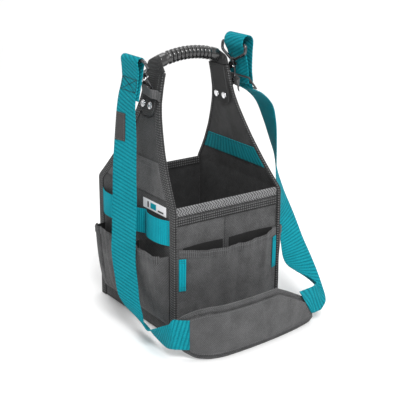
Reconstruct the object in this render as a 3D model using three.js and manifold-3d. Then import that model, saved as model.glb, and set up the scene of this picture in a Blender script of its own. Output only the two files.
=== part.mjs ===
// Open top tool tote with two leaning end panels, a moulded handle, pockets and a padded shoulder strap.
// Millimetres, +Z up, origin on the floor under the middle of the base, +X along the handle, front towards -Y.
import * as THREE from 'three'
import { mergeVertices } from 'three/addons/utils/BufferGeometryUtils.js'
import Module from 'manifold-3d'

const wasm = await Module()
wasm.setup()

// Body
const bodyWidth = 210
const bodyDepth = 226
const finDepth = 5
const rimHeight = 221.5
const neckHeight = 196.5
const panelThickness = 2.4
const baseThickness = 4
const endLean = 0.2127
const clearance = 0.3

// Trims
const bindingThickness = 1.2
const bindingWidth = 13
const tapeThickness = 1.2
const rimTapeWidth = 13
const pocketTapeWidth = 11
const slipAboveRim = 9.5
const innerBandAboveRim = 29.5
const bandThickness = 1.4
const innerBandWidth = 31

// Pockets
const pocketThickness = 1.4
const sidePocketProjection = 24
const frontPocketProjection = 22
const frontPocketHeight = 154
const frontPocketSag = 5
const sidePocketHeight = 143
const pocketSeamHeight = 20
const slipPocketHeight = 51
const loopBandHeight = 160
const loopBandWidth = 42
const loopProjection = 9
const tabWidth = 11
const tabInset = 1.5
const tabBelowMouth = 14
const tabHeight = 55

// Handle and neck webbing
const gripLength = 116
const gripRadius = 11
const gripAboveNeck = 14
const gripRise = 10
const ribCount = 11
const neckWebbingWidth = 46
const neckWebbingThickness = 1.6
const neckWebbingLength = 70
const rivetRadius = 6
const rivetShaftRadius = 2.4
const rivetBelowNeck = 54
const rivetSpacing = 21

// Shoulder strap, its hooks and its adjuster
const strapWidth = 50
const strapThickness = 1.6
const hookWire = 2.1
const hookHalfWidth = 9.5
const hookHalfHeight = 11
const hookPinRadius = 1
const gateRadius = 1.7
const leverGap = 1.8
const bossWidth = 13
const bossDepth = 8.4
const bossHeight = 9
const eyeWire = 2.6
const eyeHeight = 62
const eyeInnerWidth = 58
const eyeCorner = 14
const hookLoopWidth = 6.4
const adjusterLength = 29
const adjusterBar = 2.8
const adjusterThickness = 2.4
const tagHeight = 54
const tagThickness = 0.8
const hooks = {
  left: { side: -1, y: -8, below: 27, tilt: -30, strapShift: 3.2, loopRadius: 6.5, bandOut: 20.3 },
  right: { side: 1, y: -16, below: 28, tilt: 4, strapShift: -3, loopRadius: 11, bandOut: 16.5 },
}

// Shoulder pad
const padLength = 264
const padHeight = 88
const padThickness = 9
const padSleeveThickness = 3.4
const padReach = 33
const padBend = 78
const padDistance = 93.5
const padLeftBend = 38
const padRightBend = 21

const halfWidth = bodyWidth / 2
const halfDepth = bodyDepth / 2
const finHalf = halfDepth + finDepth
const neckTop = rimHeight + neckHeight
const gripHeight = neckTop + gripAboveNeck
const rivetHeight = neckTop - rivetBelowNeck
for (const hook of Object.values(hooks)) hook.z = neckTop - hook.below
const padMiddleY = -(halfDepth + padDistance)

const colours = {
  fabric: [0x59595b, 0.85, 0],
  binding: [0x3f4042, 0.9, 0],
  rimTape: [0xa5a5a7, 0.85, 0],
  teal: [0x1fa0ad, 0.75, 0],
  webbing: [0x47484a, 0.85, 0],
  tab: [0x7c7a7c, 0.85, 0],
  grip: [0x4a4a4c, 0.5, 0],
  metal: [0x77777a, 0.35, 0.9],
  rivet: [0xe6e6e8, 0.25, 1],
  label: [0xf2f2f2, 0.7, 0],
}

const model = new THREE.Group()

function addMesh(name, geometry, finish, parent = model) {
  const [color, roughness, metalness] = colours[finish]
  const mesh = new THREE.Mesh(geometry, new THREE.MeshStandardMaterial({ color, roughness, metalness }))
  mesh.name = name
  parent.add(mesh)
  return mesh
}

// Solids from grids of points

function signedVolume(points, faces) {
  const cross = new THREE.Vector3()
  return faces.reduce((sum, [a, b, c]) => sum + points[a].dot(cross.crossVectors(points[b], points[c])), 0)
}

function solidFrom(points, faces) {
  const turned = signedVolume(points, faces) < 0
  const index = faces.flatMap(([a, b, c]) => (turned ? [a, c, b] : [a, b, c]))
  const geometry = new THREE.BufferGeometry()
  geometry.setAttribute('position', new THREE.Float32BufferAttribute(points.flatMap((p) => p.toArray()), 3))
  geometry.setIndex(index)
  return geometry
}

function gridNormal(rows, j, i) {
  const left = rows[j][Math.max(i - 1, 0)]
  const right = rows[j][Math.min(i + 1, rows[j].length - 1)]
  const down = rows[Math.max(j - 1, 0)][i]
  const up = rows[Math.min(j + 1, rows.length - 1)][i]
  const across = right.clone().sub(left)
  return across.cross(up.clone().sub(down)).normalize()
}

// A cloth wall of even thickness about a grid of points, closed all round.
function cloth(rows, thickness) {
  const columns = rows[0].length
  const points = []
  for (const half of [thickness / 2, -thickness / 2]) {
    rows.forEach((row, j) => row.forEach((p, i) => points.push(p.clone().addScaledVector(gridNormal(rows, j, i), half))))
  }
  const under = rows.length * columns
  const at = (j, i) => j * columns + i
  const faces = []
  const quad = (a, b, c, d) => faces.push([a, b, c], [a, c, d])
  for (let j = 0; j < rows.length - 1; j++) {
    for (let i = 0; i < columns - 1; i++) {
      quad(at(j, i), at(j, i + 1), at(j + 1, i + 1), at(j + 1, i))
      quad(under + at(j, i), under + at(j + 1, i), under + at(j + 1, i + 1), under + at(j, i + 1))
    }
  }
  const rim = []
  for (let i = 0; i < columns - 1; i++) rim.push(at(0, i))
  for (let j = 0; j < rows.length - 1; j++) rim.push(at(j, columns - 1))
  for (let i = columns - 1; i > 0; i--) rim.push(at(rows.length - 1, i))
  for (let j = rows.length - 1; j > 0; j--) rim.push(at(j, 0))
  rim.forEach((a, k) => {
    const b = rim[(k + 1) % rim.length]
    quad(b, a, under + a, under + b)
  })
  return solidFrom(points, faces)
}

// A solid through closed convex sections, capped at both ends or joined end to start.
function loft(sections, closed = false) {
  const sides = sections[0].length
  const points = sections.flat()
  const faces = []
  const last = closed ? sections.length : sections.length - 1
  for (let s = 0; s < last; s++) {
    const next = ((s + 1) % sections.length) * sides
    for (let k = 0; k < sides; k++) {
      const l = (k + 1) % sides
      faces.push([s * sides + k, s * sides + l, next + l], [s * sides + k, next + l, next + k])
    }
  }
  if (!closed) {
    const end = (sections.length - 1) * sides
    for (let k = 1; k < sides - 1; k++) {
      faces.push([0, k + 1, k], [end, end + k, end + k + 1])
    }
  }
  return solidFrom(points, faces)
}

// A round bar along a path in the plane of across and up, its radius given at each point.
function bar(path, radius, sides, thicknessAxis, closed = false) {
  const sections = path.map((p, i) => {
    const before = closed ? path[(i + path.length - 1) % path.length] : path[Math.max(i - 1, 0)]
    const after = closed ? path[(i + 1) % path.length] : path[Math.min(i + 1, path.length - 1)]
    const along = after.clone().sub(before).normalize()
    const outward = along.clone().cross(thicknessAxis).normalize()
    const r = typeof radius === 'function' ? radius(i / (path.length - 1)) : radius
    return Array.from({ length: sides }, (_, k) => {
      const angle = (2 * Math.PI * (k + 0.5)) / sides
      return p.clone().addScaledVector(outward, r * Math.cos(angle)).addScaledVector(thicknessAxis, r * Math.sin(angle))
    })
  })
  return loft(sections, closed)
}

function toManifold(geometry) {
  const bare = geometry.clone()
  bare.deleteAttribute('normal')
  bare.deleteAttribute('uv')
  const merged = mergeVertices(bare, 1e-4)
  return new wasm.Manifold(new wasm.Mesh({
    numProp: 3,
    vertProperties: new Float32Array(merged.attributes.position.array),
    triVerts: new Uint32Array(merged.index.array),
  }))
}

function fromManifold(solid) {
  const mesh = solid.getMesh()
  const geometry = new THREE.BufferGeometry()
  geometry.setAttribute('position', new THREE.BufferAttribute(mesh.vertProperties.slice(), 3))
  geometry.setIndex(new THREE.BufferAttribute(mesh.triVerts.slice(), 1))
  return geometry
}

const subtractAll = (geometry, tools) =>
  fromManifold(tools.reduce((solid, tool) => solid.subtract(toManifold(tool)), toManifold(geometry)))

const range = (count) => Array.from({ length: count + 1 }, (_, i) => i / count)
const mix = THREE.MathUtils.lerp

function tableValue(table, at, column) {
  const upper = table.findIndex((row) => row.at >= at)
  if (upper === 0) return table[0][column]
  if (upper < 0) return table[table.length - 1][column]
  const a = table[upper - 1]
  const b = table[upper]
  return mix(a[column], b[column], (at - a.at) / (b.at - a.at))
}

// Walls. A place on a wall is its distance along it, its height and how far it stands outside the wall's face.

const endX = (z) => halfWidth - endLean * Math.max(z - rimHeight, 0)
const onEnd = (side) => (u, z, out) => new THREE.Vector3(side * (endX(z) + out), u, z)
const onFront = (u, z, out) => new THREE.Vector3(u, -(halfDepth + out), z)
const onBack = (u, z, out) => new THREE.Vector3(u, halfDepth + out, z)

// Half of the end panel's depth above the rim: shares of the neck's height and of the fin's half depth.
const neckOutline = [
  { at: 0, share: 1 },
  { at: 0.12, share: 0.835 },
  { at: 0.23, share: 0.695 },
  { at: 0.4, share: 0.51 },
  { at: 0.53, share: 0.395 },
  { at: 0.65, share: 0.3 },
  { at: 0.76, share: 0.24 },
  { at: 0.88, share: 0.218 },
  { at: 1, share: 0.208 },
]
const endHalf = (z) => finHalf * (z <= rimHeight ? 1 : tableValue(neckOutline, (z - rimHeight) / neckHeight, 'share'))
const neckRows = neckOutline.map((row) => rimHeight + row.at * neckHeight)
const endRows = [0, rimHeight / 3, (2 * rimHeight) / 3, ...neckRows]

function endSlope(z) {
  const step = 4
  return (endHalf(z - step) - endHalf(z + step)) / (2 * step)
}

function endPanel(side) {
  const rows = endRows.map((z) =>
    [-1, -0.5, 0, 0.5, 1].map((share) => onEnd(side)(share * endHalf(z), z, -panelThickness / 2)))
  return cloth(rows, panelThickness)
}

// Tape folded over the end panel's edge: outside leaf, edge and the narrow leaf behind the fin.
function edgeBinding(side, edge) {
  const out = clearance + bindingThickness / 2
  const heights = [...endRows.slice(0, -1), neckTop - neckWebbingThickness]
  const rows = heights.map((z) => {
    const slant = Math.min(Math.hypot(1, endSlope(z)), 1.35)
    const half = endHalf(z)
    const inner = half - bindingWidth * slant
    const behind = half - (finDepth - clearance - bindingThickness) * slant
    const place = onEnd(side)
    return [
      place(edge * inner, z, out),
      place(edge * (half - finDepth), z, out),
      place(edge * (half + out), z, out),
      place(edge * (half + out), z, -panelThickness - out),
      place(edge * behind, z, -panelThickness - out),
    ]
  })
  return cloth(rows, bindingThickness)
}

function flatWall(place, halfSpan, low, high, out, thickness, steps = 2) {
  const rows = [low, high].map((z) => range(steps).map((s) => place(mix(-halfSpan, halfSpan, s), z, out)))
  return cloth(rows, thickness)
}

const innerHalf = halfWidth - panelThickness - clearance
const trimHalf = innerHalf - bindingThickness - 2 * clearance
const skinOut = (thickness) => clearance + thickness / 2

function rimTape(place) {
  const out = skinOut(tapeThickness)
  const low = rimHeight - rimTapeWidth
  const top = rimHeight + out
  const rows = [[low, out], [top, out], [top, -panelThickness - out], [low, -panelThickness - out]].map(([z, o]) =>
    range(2).map((s) => place(mix(-trimHalf, trimHalf, s), z, o)))
  return cloth(rows, tapeThickness)
}

// Front pockets: the upper one lies flat on the panel, the lower one stands off it in two lobes.

const upperPocketOut = skinOut(pocketThickness)
const upperPocketTop = rimHeight - rimTapeWidth - clearance - tapeThickness
const pocketTapeOut = upperPocketOut + pocketThickness / 2 + skinOut(tapeThickness)
const frontPocketHalf = trimHalf - clearance
const lowerPocketBack = upperPocketOut + pocketThickness / 2 + skinOut(pocketThickness)

// Shares across the lower front pocket, how far it stands off there, and how far its mouth sags.
const frontLobes = [
  { at: 0, off: 0, sag: 0 },
  { at: 0.03, off: 0.1, sag: 0.05 },
  { at: 0.1, off: 0.42, sag: 0.3 },
  { at: 0.2, off: 0.74, sag: 0.62 },
  { at: 0.3, off: 0.92, sag: 0.85 },
  { at: 0.4, off: 1, sag: 1 },
  { at: 0.5, off: 0.97, sag: 1 },
  { at: 0.6, off: 1, sag: 0.93 },
  { at: 0.7, off: 0.94, sag: 0.78 },
  { at: 0.8, off: 0.8, sag: 0.58 },
  { at: 0.9, off: 0.48, sag: 0.3 },
  { at: 0.97, off: 0.12, sag: 0.06 },
  { at: 1, off: 0, sag: 0 },
]
// Shares of the pocket's height, and how much of the full projection it has there.
const pocketRise = [
  { at: 0, off: 0 },
  { at: 0.08, off: 0.3 },
  { at: 0.25, off: 0.58 },
  { at: 0.5, off: 0.8 },
  { at: 0.75, off: 0.93 },
  { at: 1, off: 1 },
]

function frontPocket() {
  const rows = pocketRise.map((rise) => frontLobes.map((lobe) => {
    const mouth = frontPocketHeight - frontPocketSag * lobe.sag
    const z = mix(pocketSeamHeight, mouth, rise.at)
    return onFront(mix(-frontPocketHalf, frontPocketHalf, lobe.at), z,
      lowerPocketBack + frontPocketProjection * lobe.off * rise.off)
  }))
  return cloth(rows, pocketThickness)
}

function tealTab(direction) {
  const middle = direction * (frontPocketHalf - clearance - tabInset - tabWidth / 2)
  const top = frontPocketHeight - tabBelowMouth
  const rows = range(3).map((s) => {
    const z = mix(top - tabHeight, top, s)
    const lift = tableValue(pocketRise, (z - pocketSeamHeight) / (frontPocketHeight - pocketSeamHeight), 'off')
    return [-1, 1].map((edge) => {
      const u = middle + (edge * tabWidth) / 2
      const share = (u + frontPocketHalf) / (2 * frontPocketHalf)
      const lobe = tableValue(frontLobes, share, 'off')
      return onFront(u, z, lowerPocketBack + frontPocketProjection * lobe * lift + pocketThickness + tapeThickness)
    })
  })
  return cloth(rows, tapeThickness)
}

// End pockets: a row for each fold across the pocket, as shares of its width and projection.
const bellows = [
  { at: 0, off: 0 },
  { at: 0.015, off: 0.45 },
  { at: 0.05, off: 0.84 },
  { at: 0.16, off: 0.98 },
  { at: 0.34, off: 1 },
  { at: 0.52, off: 0.95 },
  { at: 0.7, off: 1 },
  { at: 0.86, off: 0.97 },
  { at: 0.95, off: 0.84 },
  { at: 0.985, off: 0.45 },
  { at: 1, off: 0 },
]
const endPockets = {
  front: { low: -0.86, high: -0.1, height: 1 },
  back: { low: 0.14, high: 0.86, height: 0.98 },
}

function bellowsPocket(side, pocket) {
  const base = skinOut(pocketThickness)
  const top = sidePocketHeight * pocket.height
  const rows = pocketRise.map((rise) => bellows.map((fold) =>
    onEnd(side)(finHalf * mix(pocket.low, pocket.high, fold.at), mix(pocketSeamHeight, top, rise.at),
      base + sidePocketProjection * fold.off * rise.off)))
  return cloth(rows, pocketThickness)
}

const bandHalf = finHalf - bindingWidth - clearance - bandThickness / 2
// The teal loops: where the band is sewn down and where it stands off, as shares of its length.
const loopTable = [
  { at: 0, off: 0 },
  { at: 0.05, off: 0.55 },
  { at: 0.1, off: 0.88 },
  { at: 0.17, off: 1 },
  { at: 0.24, off: 0.88 },
  { at: 0.29, off: 0.55 },
  { at: 0.335, off: 0 },
  { at: 0.385, off: 0.55 },
  { at: 0.43, off: 0.88 },
  { at: 0.5, off: 1 },
  { at: 0.57, off: 0.88 },
  { at: 0.62, off: 0.55 },
  { at: 0.665, off: 0 },
  { at: 0.715, off: 0.55 },
  { at: 0.76, off: 0.88 },
  { at: 0.83, off: 1 },
  { at: 0.9, off: 0.88 },
  { at: 0.95, off: 0.55 },
  { at: 1, off: 0 },
]

function loopBand(side) {
  const rows = [loopBandHeight, loopBandHeight + loopBandWidth].map((z) => loopTable.map((row) =>
    onEnd(side)(mix(-bandHalf, bandHalf, row.at), z, skinOut(bandThickness) + loopProjection * row.off)))
  return cloth(rows, bandThickness)
}

const slipBottom = rimHeight + slipAboveRim
function slipPocket(side) {
  const rows = range(2).map((s) => {
    const z = mix(slipBottom, slipBottom + slipPocketHeight, s)
    const half = endHalf(z) - bindingWidth * 1.35 - clearance
    return [-1, -0.6, 0, 0.6, 1].map((share) =>
      onEnd(side)(share * half, z, skinOut(pocketThickness) + (1 - Math.abs(share)) * 2 * s))
  })
  return cloth(rows, pocketThickness)
}

function sideLabel() {
  const low = loopBandHeight + loopBandWidth + 3
  const rows = [low, rimHeight - clearance].map((z) =>
    [-0.8, -0.23].map((share) => onEnd(-1)(finHalf * share, z, skinOut(tapeThickness))))
  return cloth(rows, tapeThickness)
}

const innerBandLow = rimHeight + innerBandAboveRim
function innerBand(side) {
  const rows = range(2).map((s) => {
    const z = innerBandLow + s * innerBandWidth
    const half = endHalf(z) - finDepth - clearance - bindingThickness
    return range(2).map((t) => onEnd(side)(mix(-half, half, t), z, -panelThickness - skinOut(bandThickness)))
  })
  return cloth(rows, bandThickness)
}

// Neck webbing: a rounded patch on each face of the neck, the outer one running up into the grip.

const webbingBottom = neckTop - neckWebbingLength
const tongue = [
  { at: 0, share: 0.42 },
  { at: 0.04, share: 0.7 },
  { at: 0.12, share: 0.93 },
  { at: 0.24, share: 1 },
]
const tongueRows = [0, 0.04, 0.12, 0.24, 0.5, 1]

function tongueHalf(share, z) {
  const half = (neckWebbingWidth / 2) * tableValue(tongue, share, 'share')
  return Math.min(half, endHalf(z) + bindingThickness)
}

const bindingOut = clearance + bindingThickness
function neckPatch(side) {
  const rows = tongueRows.map((share) => {
    const z = mix(webbingBottom, neckTop - clearance, share)
    return [-1, 1].map((edge) =>
      onEnd(side)(edge * tongueHalf(share, z), z, -panelThickness - bindingOut - skinOut(neckWebbingThickness)))
  })
  return cloth(rows, neckWebbingThickness)
}

const gripEnd = gripLength / 2
const gripHeightAt = (x) => gripHeight + gripRise * (1 - (x / gripEnd) ** 2)

function neckWebbing(side) {
  const out = bindingOut + skinOut(neckWebbingThickness)
  const half = neckWebbingThickness / 2
  const place = onEnd(side)
  const sections = tongueRows.map((share) => {
    const z = mix(webbingBottom, neckTop, share)
    const w = tongueHalf(share, z)
    return [place(-w, z, out - half), place(w, z, out - half), place(w, z, out + half), place(-w, z, out + half)]
  })
  const innerOut = -panelThickness - out - half
  const outerX = endX(neckTop) + out + half
  const innerX = endX(neckTop) + innerOut
  const wide = neckWebbingWidth / 2
  const fold = [
    { x: innerX, lowZ: neckTop + 2 * clearance + panelThickness * endLean, topX: outerX, topZ: neckTop + 4, share: 1 },
    { x: mix(innerX, gripEnd, 0.5), lowZ: neckTop + 1.5, topX: mix(gripEnd, outerX, 0.72), topZ: neckTop + 15, share: 0.92 },
    { x: gripEnd + clearance, lowZ: gripHeight - 9, topX: gripEnd + clearance, topZ: gripHeight + 9, share: 0.44 },
  ]
  for (const row of fold) {
    const w = wide * row.share
    sections.push([
      new THREE.Vector3(side * row.x, -w, row.lowZ),
      new THREE.Vector3(side * row.x, w, row.lowZ),
      new THREE.Vector3(side * row.topX, w, row.topZ),
      new THREE.Vector3(side * row.topX, -w, row.topZ),
    ])
  }
  return loft(sections)
}

const leanAngle = Math.atan(endLean)
function rivetPlace(side, spot) {
  const z = rivetHeight
  return { side, y: spot * rivetSpacing * 0.5 + 4, z }
}

function alongLean(geometry, { side, y, z }, out) {
  const turned = geometry.clone().rotateZ(-Math.PI / 2)
  if (side < 0) turned.rotateZ(Math.PI)
  turned.rotateY(side * -leanAngle)
  return turned.translate(side * (endX(z) + out), y, z)
}

const rivetOuter = bindingOut + clearance + neckWebbingThickness + clearance
const rivetInner = panelThickness + bindingOut + clearance + neckWebbingThickness + clearance
function rivet(place) {
  const reach = Math.cos(leanAngle)
  const head = 1.5
  const outer = rivetOuter * reach
  const inner = -rivetInner * reach
  const profile = [
    [0, inner - head], [rivetRadius * 0.7, inner - head], [rivetRadius, inner - head * 0.3], [rivetRadius, inner],
    [rivetShaftRadius, inner], [rivetShaftRadius, outer], [rivetRadius, outer], [rivetRadius, outer + head * 0.3],
    [rivetRadius * 0.7, outer + head], [rivetRadius * 0.35, outer + head], [0, outer + head * 0.4],
  ].map(([r, h]) => new THREE.Vector2(r, h))
  return alongLean(new THREE.LatheGeometry(profile, 16), place, 0)
}

function rivetHole(place) {
  const drill = new THREE.CylinderGeometry(rivetShaftRadius + clearance, rivetShaftRadius + clearance, 40, 12)
  return alongLean(drill, place, 0)
}

// Moulded grip: plain collars at both ends and rings between them.
function grip() {
  const ribShare = 0.72
  const stations = [
    { at: 0, r: 0.86 }, { at: 0.015, r: 1 }, { at: 0.1, r: 1 }, { at: 0.13, r: 0.94 },
  ]
  const ribs = range(ribCount).slice(0, -1)
  for (const share of ribs) {
    const low = (1 - ribShare) / 2 + share * ribShare
    const pitch = ribShare / ribCount
    stations.push({ at: low + pitch * 0.1, r: 0.82 }, { at: low + pitch * 0.3, r: 1.02 })
    stations.push({ at: low + pitch * 0.7, r: 1.02 }, { at: low + pitch * 0.9, r: 0.82 })
  }
  stations.push({ at: 0.87, r: 0.94 }, { at: 0.9, r: 1 }, { at: 0.985, r: 1 }, { at: 1, r: 0.86 })
  const path = stations.map(({ at }) => {
    const x = mix(-gripEnd, gripEnd, at)
    return new THREE.Vector3(x, 0, gripHeightAt(x))
  })
  const sides = 14
  const sections = path.map((p, i) => Array.from({ length: sides }, (_, k) => {
    const angle = (2 * Math.PI * k) / sides
    const r = gripRadius * stations[i].r
    return p.clone().add(new THREE.Vector3(0, r * Math.sin(angle), r * Math.cos(angle)))
  }))
  return loft(sections)
}

// Hooks. In a hook's own frame X runs across its ring, Y through it and Z up from the ring's lowest point.

const thrust = new THREE.Vector3(0, 1, 0)
const local = (x, z) => new THREE.Vector3(x, 0, z)
const ringCentre = hookHalfHeight
const bossLow = 2 * hookHalfHeight - 0.5
const bossTop = bossLow + bossHeight
const pivot = { x: hookHalfWidth - 4.4, z: bossLow + 3 }
const tipAngle = -0.62

function hookBody() {
  const start = Math.PI * 0.5
  const sweep = 2 * Math.PI - start + tipAngle
  const steps = 14
  const path = range(steps).map((s) => {
    const angle = start + s * sweep
    return local(hookHalfWidth * Math.cos(angle), ringCentre + hookHalfHeight * Math.sin(angle))
  })
  const ring = bar(path, hookWire, 8, thrust)
  const boss = new THREE.BoxGeometry(bossWidth, bossDepth, bossHeight).translate(0, 0, bossLow + bossHeight / 2)
  const slotWidth = 2 * (gateRadius + clearance)
  const slot = new THREE.BoxGeometry(bossWidth, slotWidth, bossHeight)
    .translate(pivot.x - 2.9 + bossWidth / 2, 0, bossLow - clearance + 7.5 - bossHeight / 2)
  const pin = new THREE.CylinderGeometry(hookPinRadius, hookPinRadius, bossDepth, 10)
    .translate(pivot.x, 0, pivot.z)
  return fromManifold(toManifold(ring).add(toManifold(boss)).subtract(toManifold(slot)).add(toManifold(pin)))
}

function gateLever() {
  const tip = local(hookHalfWidth * Math.cos(tipAngle), ringCentre + hookHalfHeight * Math.sin(tipAngle))
  const foot = local(tip.x - clearance, tip.z + leverGap)
  const from = local(pivot.x, pivot.z)
  const lever = bar([from, local(mix(from.x, foot.x, 0.5) + 1.1, mix(from.z, foot.z, 0.5)), foot], gateRadius, 8, thrust)
  const hub = new THREE.CylinderGeometry(2.3, 2.3, 2 * gateRadius, 12).translate(pivot.x, 0, pivot.z)
  const bore = new THREE.CylinderGeometry(hookPinRadius + clearance, hookPinRadius + clearance, 12, 12)
    .translate(pivot.x, 0, pivot.z)
  return fromManifold(toManifold(lever).add(toManifold(hub)).subtract(toManifold(bore)))
}

// Strap eye: a trapezoid of wire on a round collar that turns on the hook.
function hookEye() {
  const foot = bossTop + clearance
  const narrow = 8
  const half = eyeInnerWidth / 2 + eyeWire
  const low = foot + 5
  const frame = [
    [-half, eyeHeight - 3], [-half + 3, eyeHeight], [0, eyeHeight], [half - 3, eyeHeight], [half, eyeHeight - 3],
    [half, eyeHeight - eyeCorner], [narrow, low + 1.5], [narrow - 3, low], [0, low], [3 - narrow, low],
    [-narrow, low + 1.5], [-half, eyeHeight - eyeCorner],
  ].map(([x, z]) => local(x, z))
  const wire = bar(frame, eyeWire, 8, thrust, true)
  const collar = new THREE.CylinderGeometry(3.4, 4.2, 5, 14).rotateX(Math.PI / 2).translate(0, 0, foot + 2.5)
  return fromManifold(toManifold(wire).add(toManifold(collar)))
}

function hookPlace(hook) {
  const standOff = bindingOut + neckWebbingThickness + 6 * clearance + tapeThickness + hookWire
  const group = new THREE.Group()
  group.position.set(hook.side * (endX(hook.z) + standOff), hook.y, hook.z)
  group.rotation.set(0, THREE.MathUtils.degToRad(hook.tilt), -Math.PI / 2)
  group.updateMatrix()
  return group
}

const eyeBar = (hook) => local(0, eyeHeight).applyMatrix4(hookPlace(hook).matrix)

// Hidden webbing loop round the ring's lowest point, down to the neck.
function hookLoop(hook) {
  const centre = hookPlace(hook).position
  const round = hookWire + 3.5 * clearance + tapeThickness / 2
  const face = bindingOut + clearance + neckWebbingThickness + skinOut(tapeThickness)
  const tail = hook.z - 10
  const faceX = (z) => hook.side * (endX(z) + face)
  const path = [[faceX(tail), tail], [faceX(hook.z - 3), hook.z - 3]]
  for (const s of range(6)) {
    const angle = Math.PI * (1 - s)
    path.push([centre.x + hook.side * round * Math.cos(angle), centre.z + round * Math.sin(angle)])
  }
  path.push([centre.x + hook.side * (round - 1), hook.z - 5], [faceX(tail) + hook.side * (tapeThickness + 0.5), tail])
  const rows = path.map(([x, z]) => [-hookLoopWidth / 2, hookLoopWidth / 2].map((y) => new THREE.Vector3(x, hook.y + y, z)))
  return cloth(rows, tapeThickness)
}

// Grosgrain band that covers the ring's foot and slopes down to the neck's front edge.
function hookBand(hook) {
  const low = hook.z - 5
  const height = 18
  const standing = hook.bandOut
  const span = hookHalfWidth + hookWire + 2.2
  const flat = bindingOut + clearance + neckWebbingThickness + skinOut(tapeThickness)
  const tail = Math.min(hook.y - span, -neckWebbingWidth / 2)
  const stations = [
    { y: neckWebbingWidth / 2, out: flat, drop: 0 },
    { y: hook.y + span + 5, out: flat + 1, drop: 1 },
    { y: hook.y + span, out: standing - 1, drop: 2 },
    { y: hook.y + span * 0.5, out: standing, drop: 3 },
    { y: hook.y - span * 0.5, out: standing, drop: 6 },
    { y: hook.y - span, out: standing - 1, drop: 8 },
    { y: tail - 4, out: flat + 2, drop: 12 },
    { y: tail - 9, out: flat, drop: 16 },
  ]
  const rows = [0, 0.5, 1].map((s) => stations.map((row) => {
    const flare = row.out > flat + 3 ? mix(0.72, 1, s) : 1
    return onEnd(hook.side)(row.y, low + height * s - row.drop * mix(0.7, 1, s), row.out * flare)
  }))
  return cloth(rows, tapeThickness)
}

// Strap: rows of points through stations, each with a place and the direction of its width.
const ribbonRows = (stations) =>
  stations.map(({ p, w }) => [-1, 0, 1].map((edge) => p.clone().addScaledVector(w, (edge * strapWidth) / 2)))

const leftSteps = 40
const rightSteps = 40
const tagTop = 0.862 * neckTop
function smoothStations(table, steps) {
  const places = new THREE.CatmullRomCurve3(table.map((row) => row.p), false, 'centripetal')
  const widths = new THREE.CatmullRomCurve3(table.map((row) => row.w), false, 'centripetal')
  return range(steps).map((s) => ({ p: places.getPoint(s), w: widths.getPoint(s).normalize() }))
}

const alongDepth = new THREE.Vector3(0, -1, 0)
const turned = (degrees, rise = 0) => {
  const angle = THREE.MathUtils.degToRad(degrees)
  return new THREE.Vector3(Math.cos(angle), Math.sin(angle), rise).normalize()
}

const padLow = -(halfWidth + padReach)
const padMiddleX = padLow + padBend
const padHigh = padLow + padLength
const sleeveStart = padLow + 17
const strapLift = padHeight / 2
// The strap leaves the sleeve's right end along a slanted edge: its middle, and how far it slants for its height.
const slantMiddle = padHigh - 25
const slant = 0.68
const slantFade = 22

// The pad's middle line on the floor: bent back at both ends, more at the left.
function padMiddle(x) {
  if (x < padMiddleX) return padMiddleY + padLeftBend * ((padMiddleX - x) / (padMiddleX - padLow)) ** 2.2
  return padMiddleY + padRightBend * ((x - padMiddleX) / (padHigh - padMiddleX)) ** 2
}

function beforePad(x, out) {
  const step = 1
  const outward = new THREE.Vector3(padMiddle(x + step) - padMiddle(x - step), -2 * step, 0).normalize()
  return new THREE.Vector3(x, padMiddle(x), 0).addScaledVector(outward, padThickness / 2 + out)
}

// Strap lying along the pad, easing away from it towards the pad's end.
const padSteps = [18, 12, 6, 0]
const padEase = 0.12
const onPad = (x, back) => ({
  p: beforePad(x, skinOut(strapThickness) + padEase * back).setZ(strapLift),
  w: new THREE.Vector3(0, 0, 1),
})
const slantedRow = (back) => [-1, 0, 1].map((edge) => {
  const high = (edge * strapWidth) / 2
  const lean = slant * high * (1 - back / slantFade)
  return beforePad(slantMiddle + back - lean, skinOut(strapThickness) + padEase * back).setZ(strapLift + high)
})

// Places along a strap: millimetres out from the body's side, shares of the pad's distance and of the neck's
// height, the turn of its width about the vertical, and the rise of the width.
const strapRun = (side, table) => table.map(({ out, deep, high, turn, rise }) => ({
  x: side * (halfWidth + out), y: padMiddleY * deep, z: neckTop * high, turn, rise,
}))

// Left strap from the hook to the pad.
const leftRun = strapRun(-1, [
  { out: 7, deep: 0.005, high: 0.969, turn: -90, rise: 0 },
  { out: 13, deep: -0, high: 0.9, turn: -88, rise: 0 },
  { out: 21, deep: 0.039, high: 0.766, turn: -78, rise: 0 },
  { out: 30, deep: 0.087, high: 0.634, turn: -73, rise: 0 },
  { out: 35, deep: 0.121, high: 0.526, turn: -71, rise: 0 },
  { out: 39, deep: 0.131, high: 0.395, turn: -71, rise: 0 },
  { out: 41, deep: 0.136, high: 0.297, turn: -71, rise: 0 },
  { out: 43, deep: 0.189, high: 0.2105, turn: -73, rise: 0 },
  { out: 45, deep: 0.237, high: 0.148, turn: -77, rise: 0 },
  { out: 45, deep: 0.305, high: 0.11, turn: -86, rise: 0 },
  { out: 45, deep: 0.387, high: 0.084, turn: -102, rise: 0.05 },
  { out: 45, deep: 0.499, high: 0.072, turn: -118, rise: 0.25 },
  { out: 43, deep: 0.591, high: 0.0694, turn: -122, rise: 0.75 },
  { out: 42, deep: 0.707, high: 0.079, turn: -120, rise: 1.7 },
  { out: 42.5, deep: 0.785, high: 0.091, turn: -112, rise: 3.2 },
])

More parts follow.
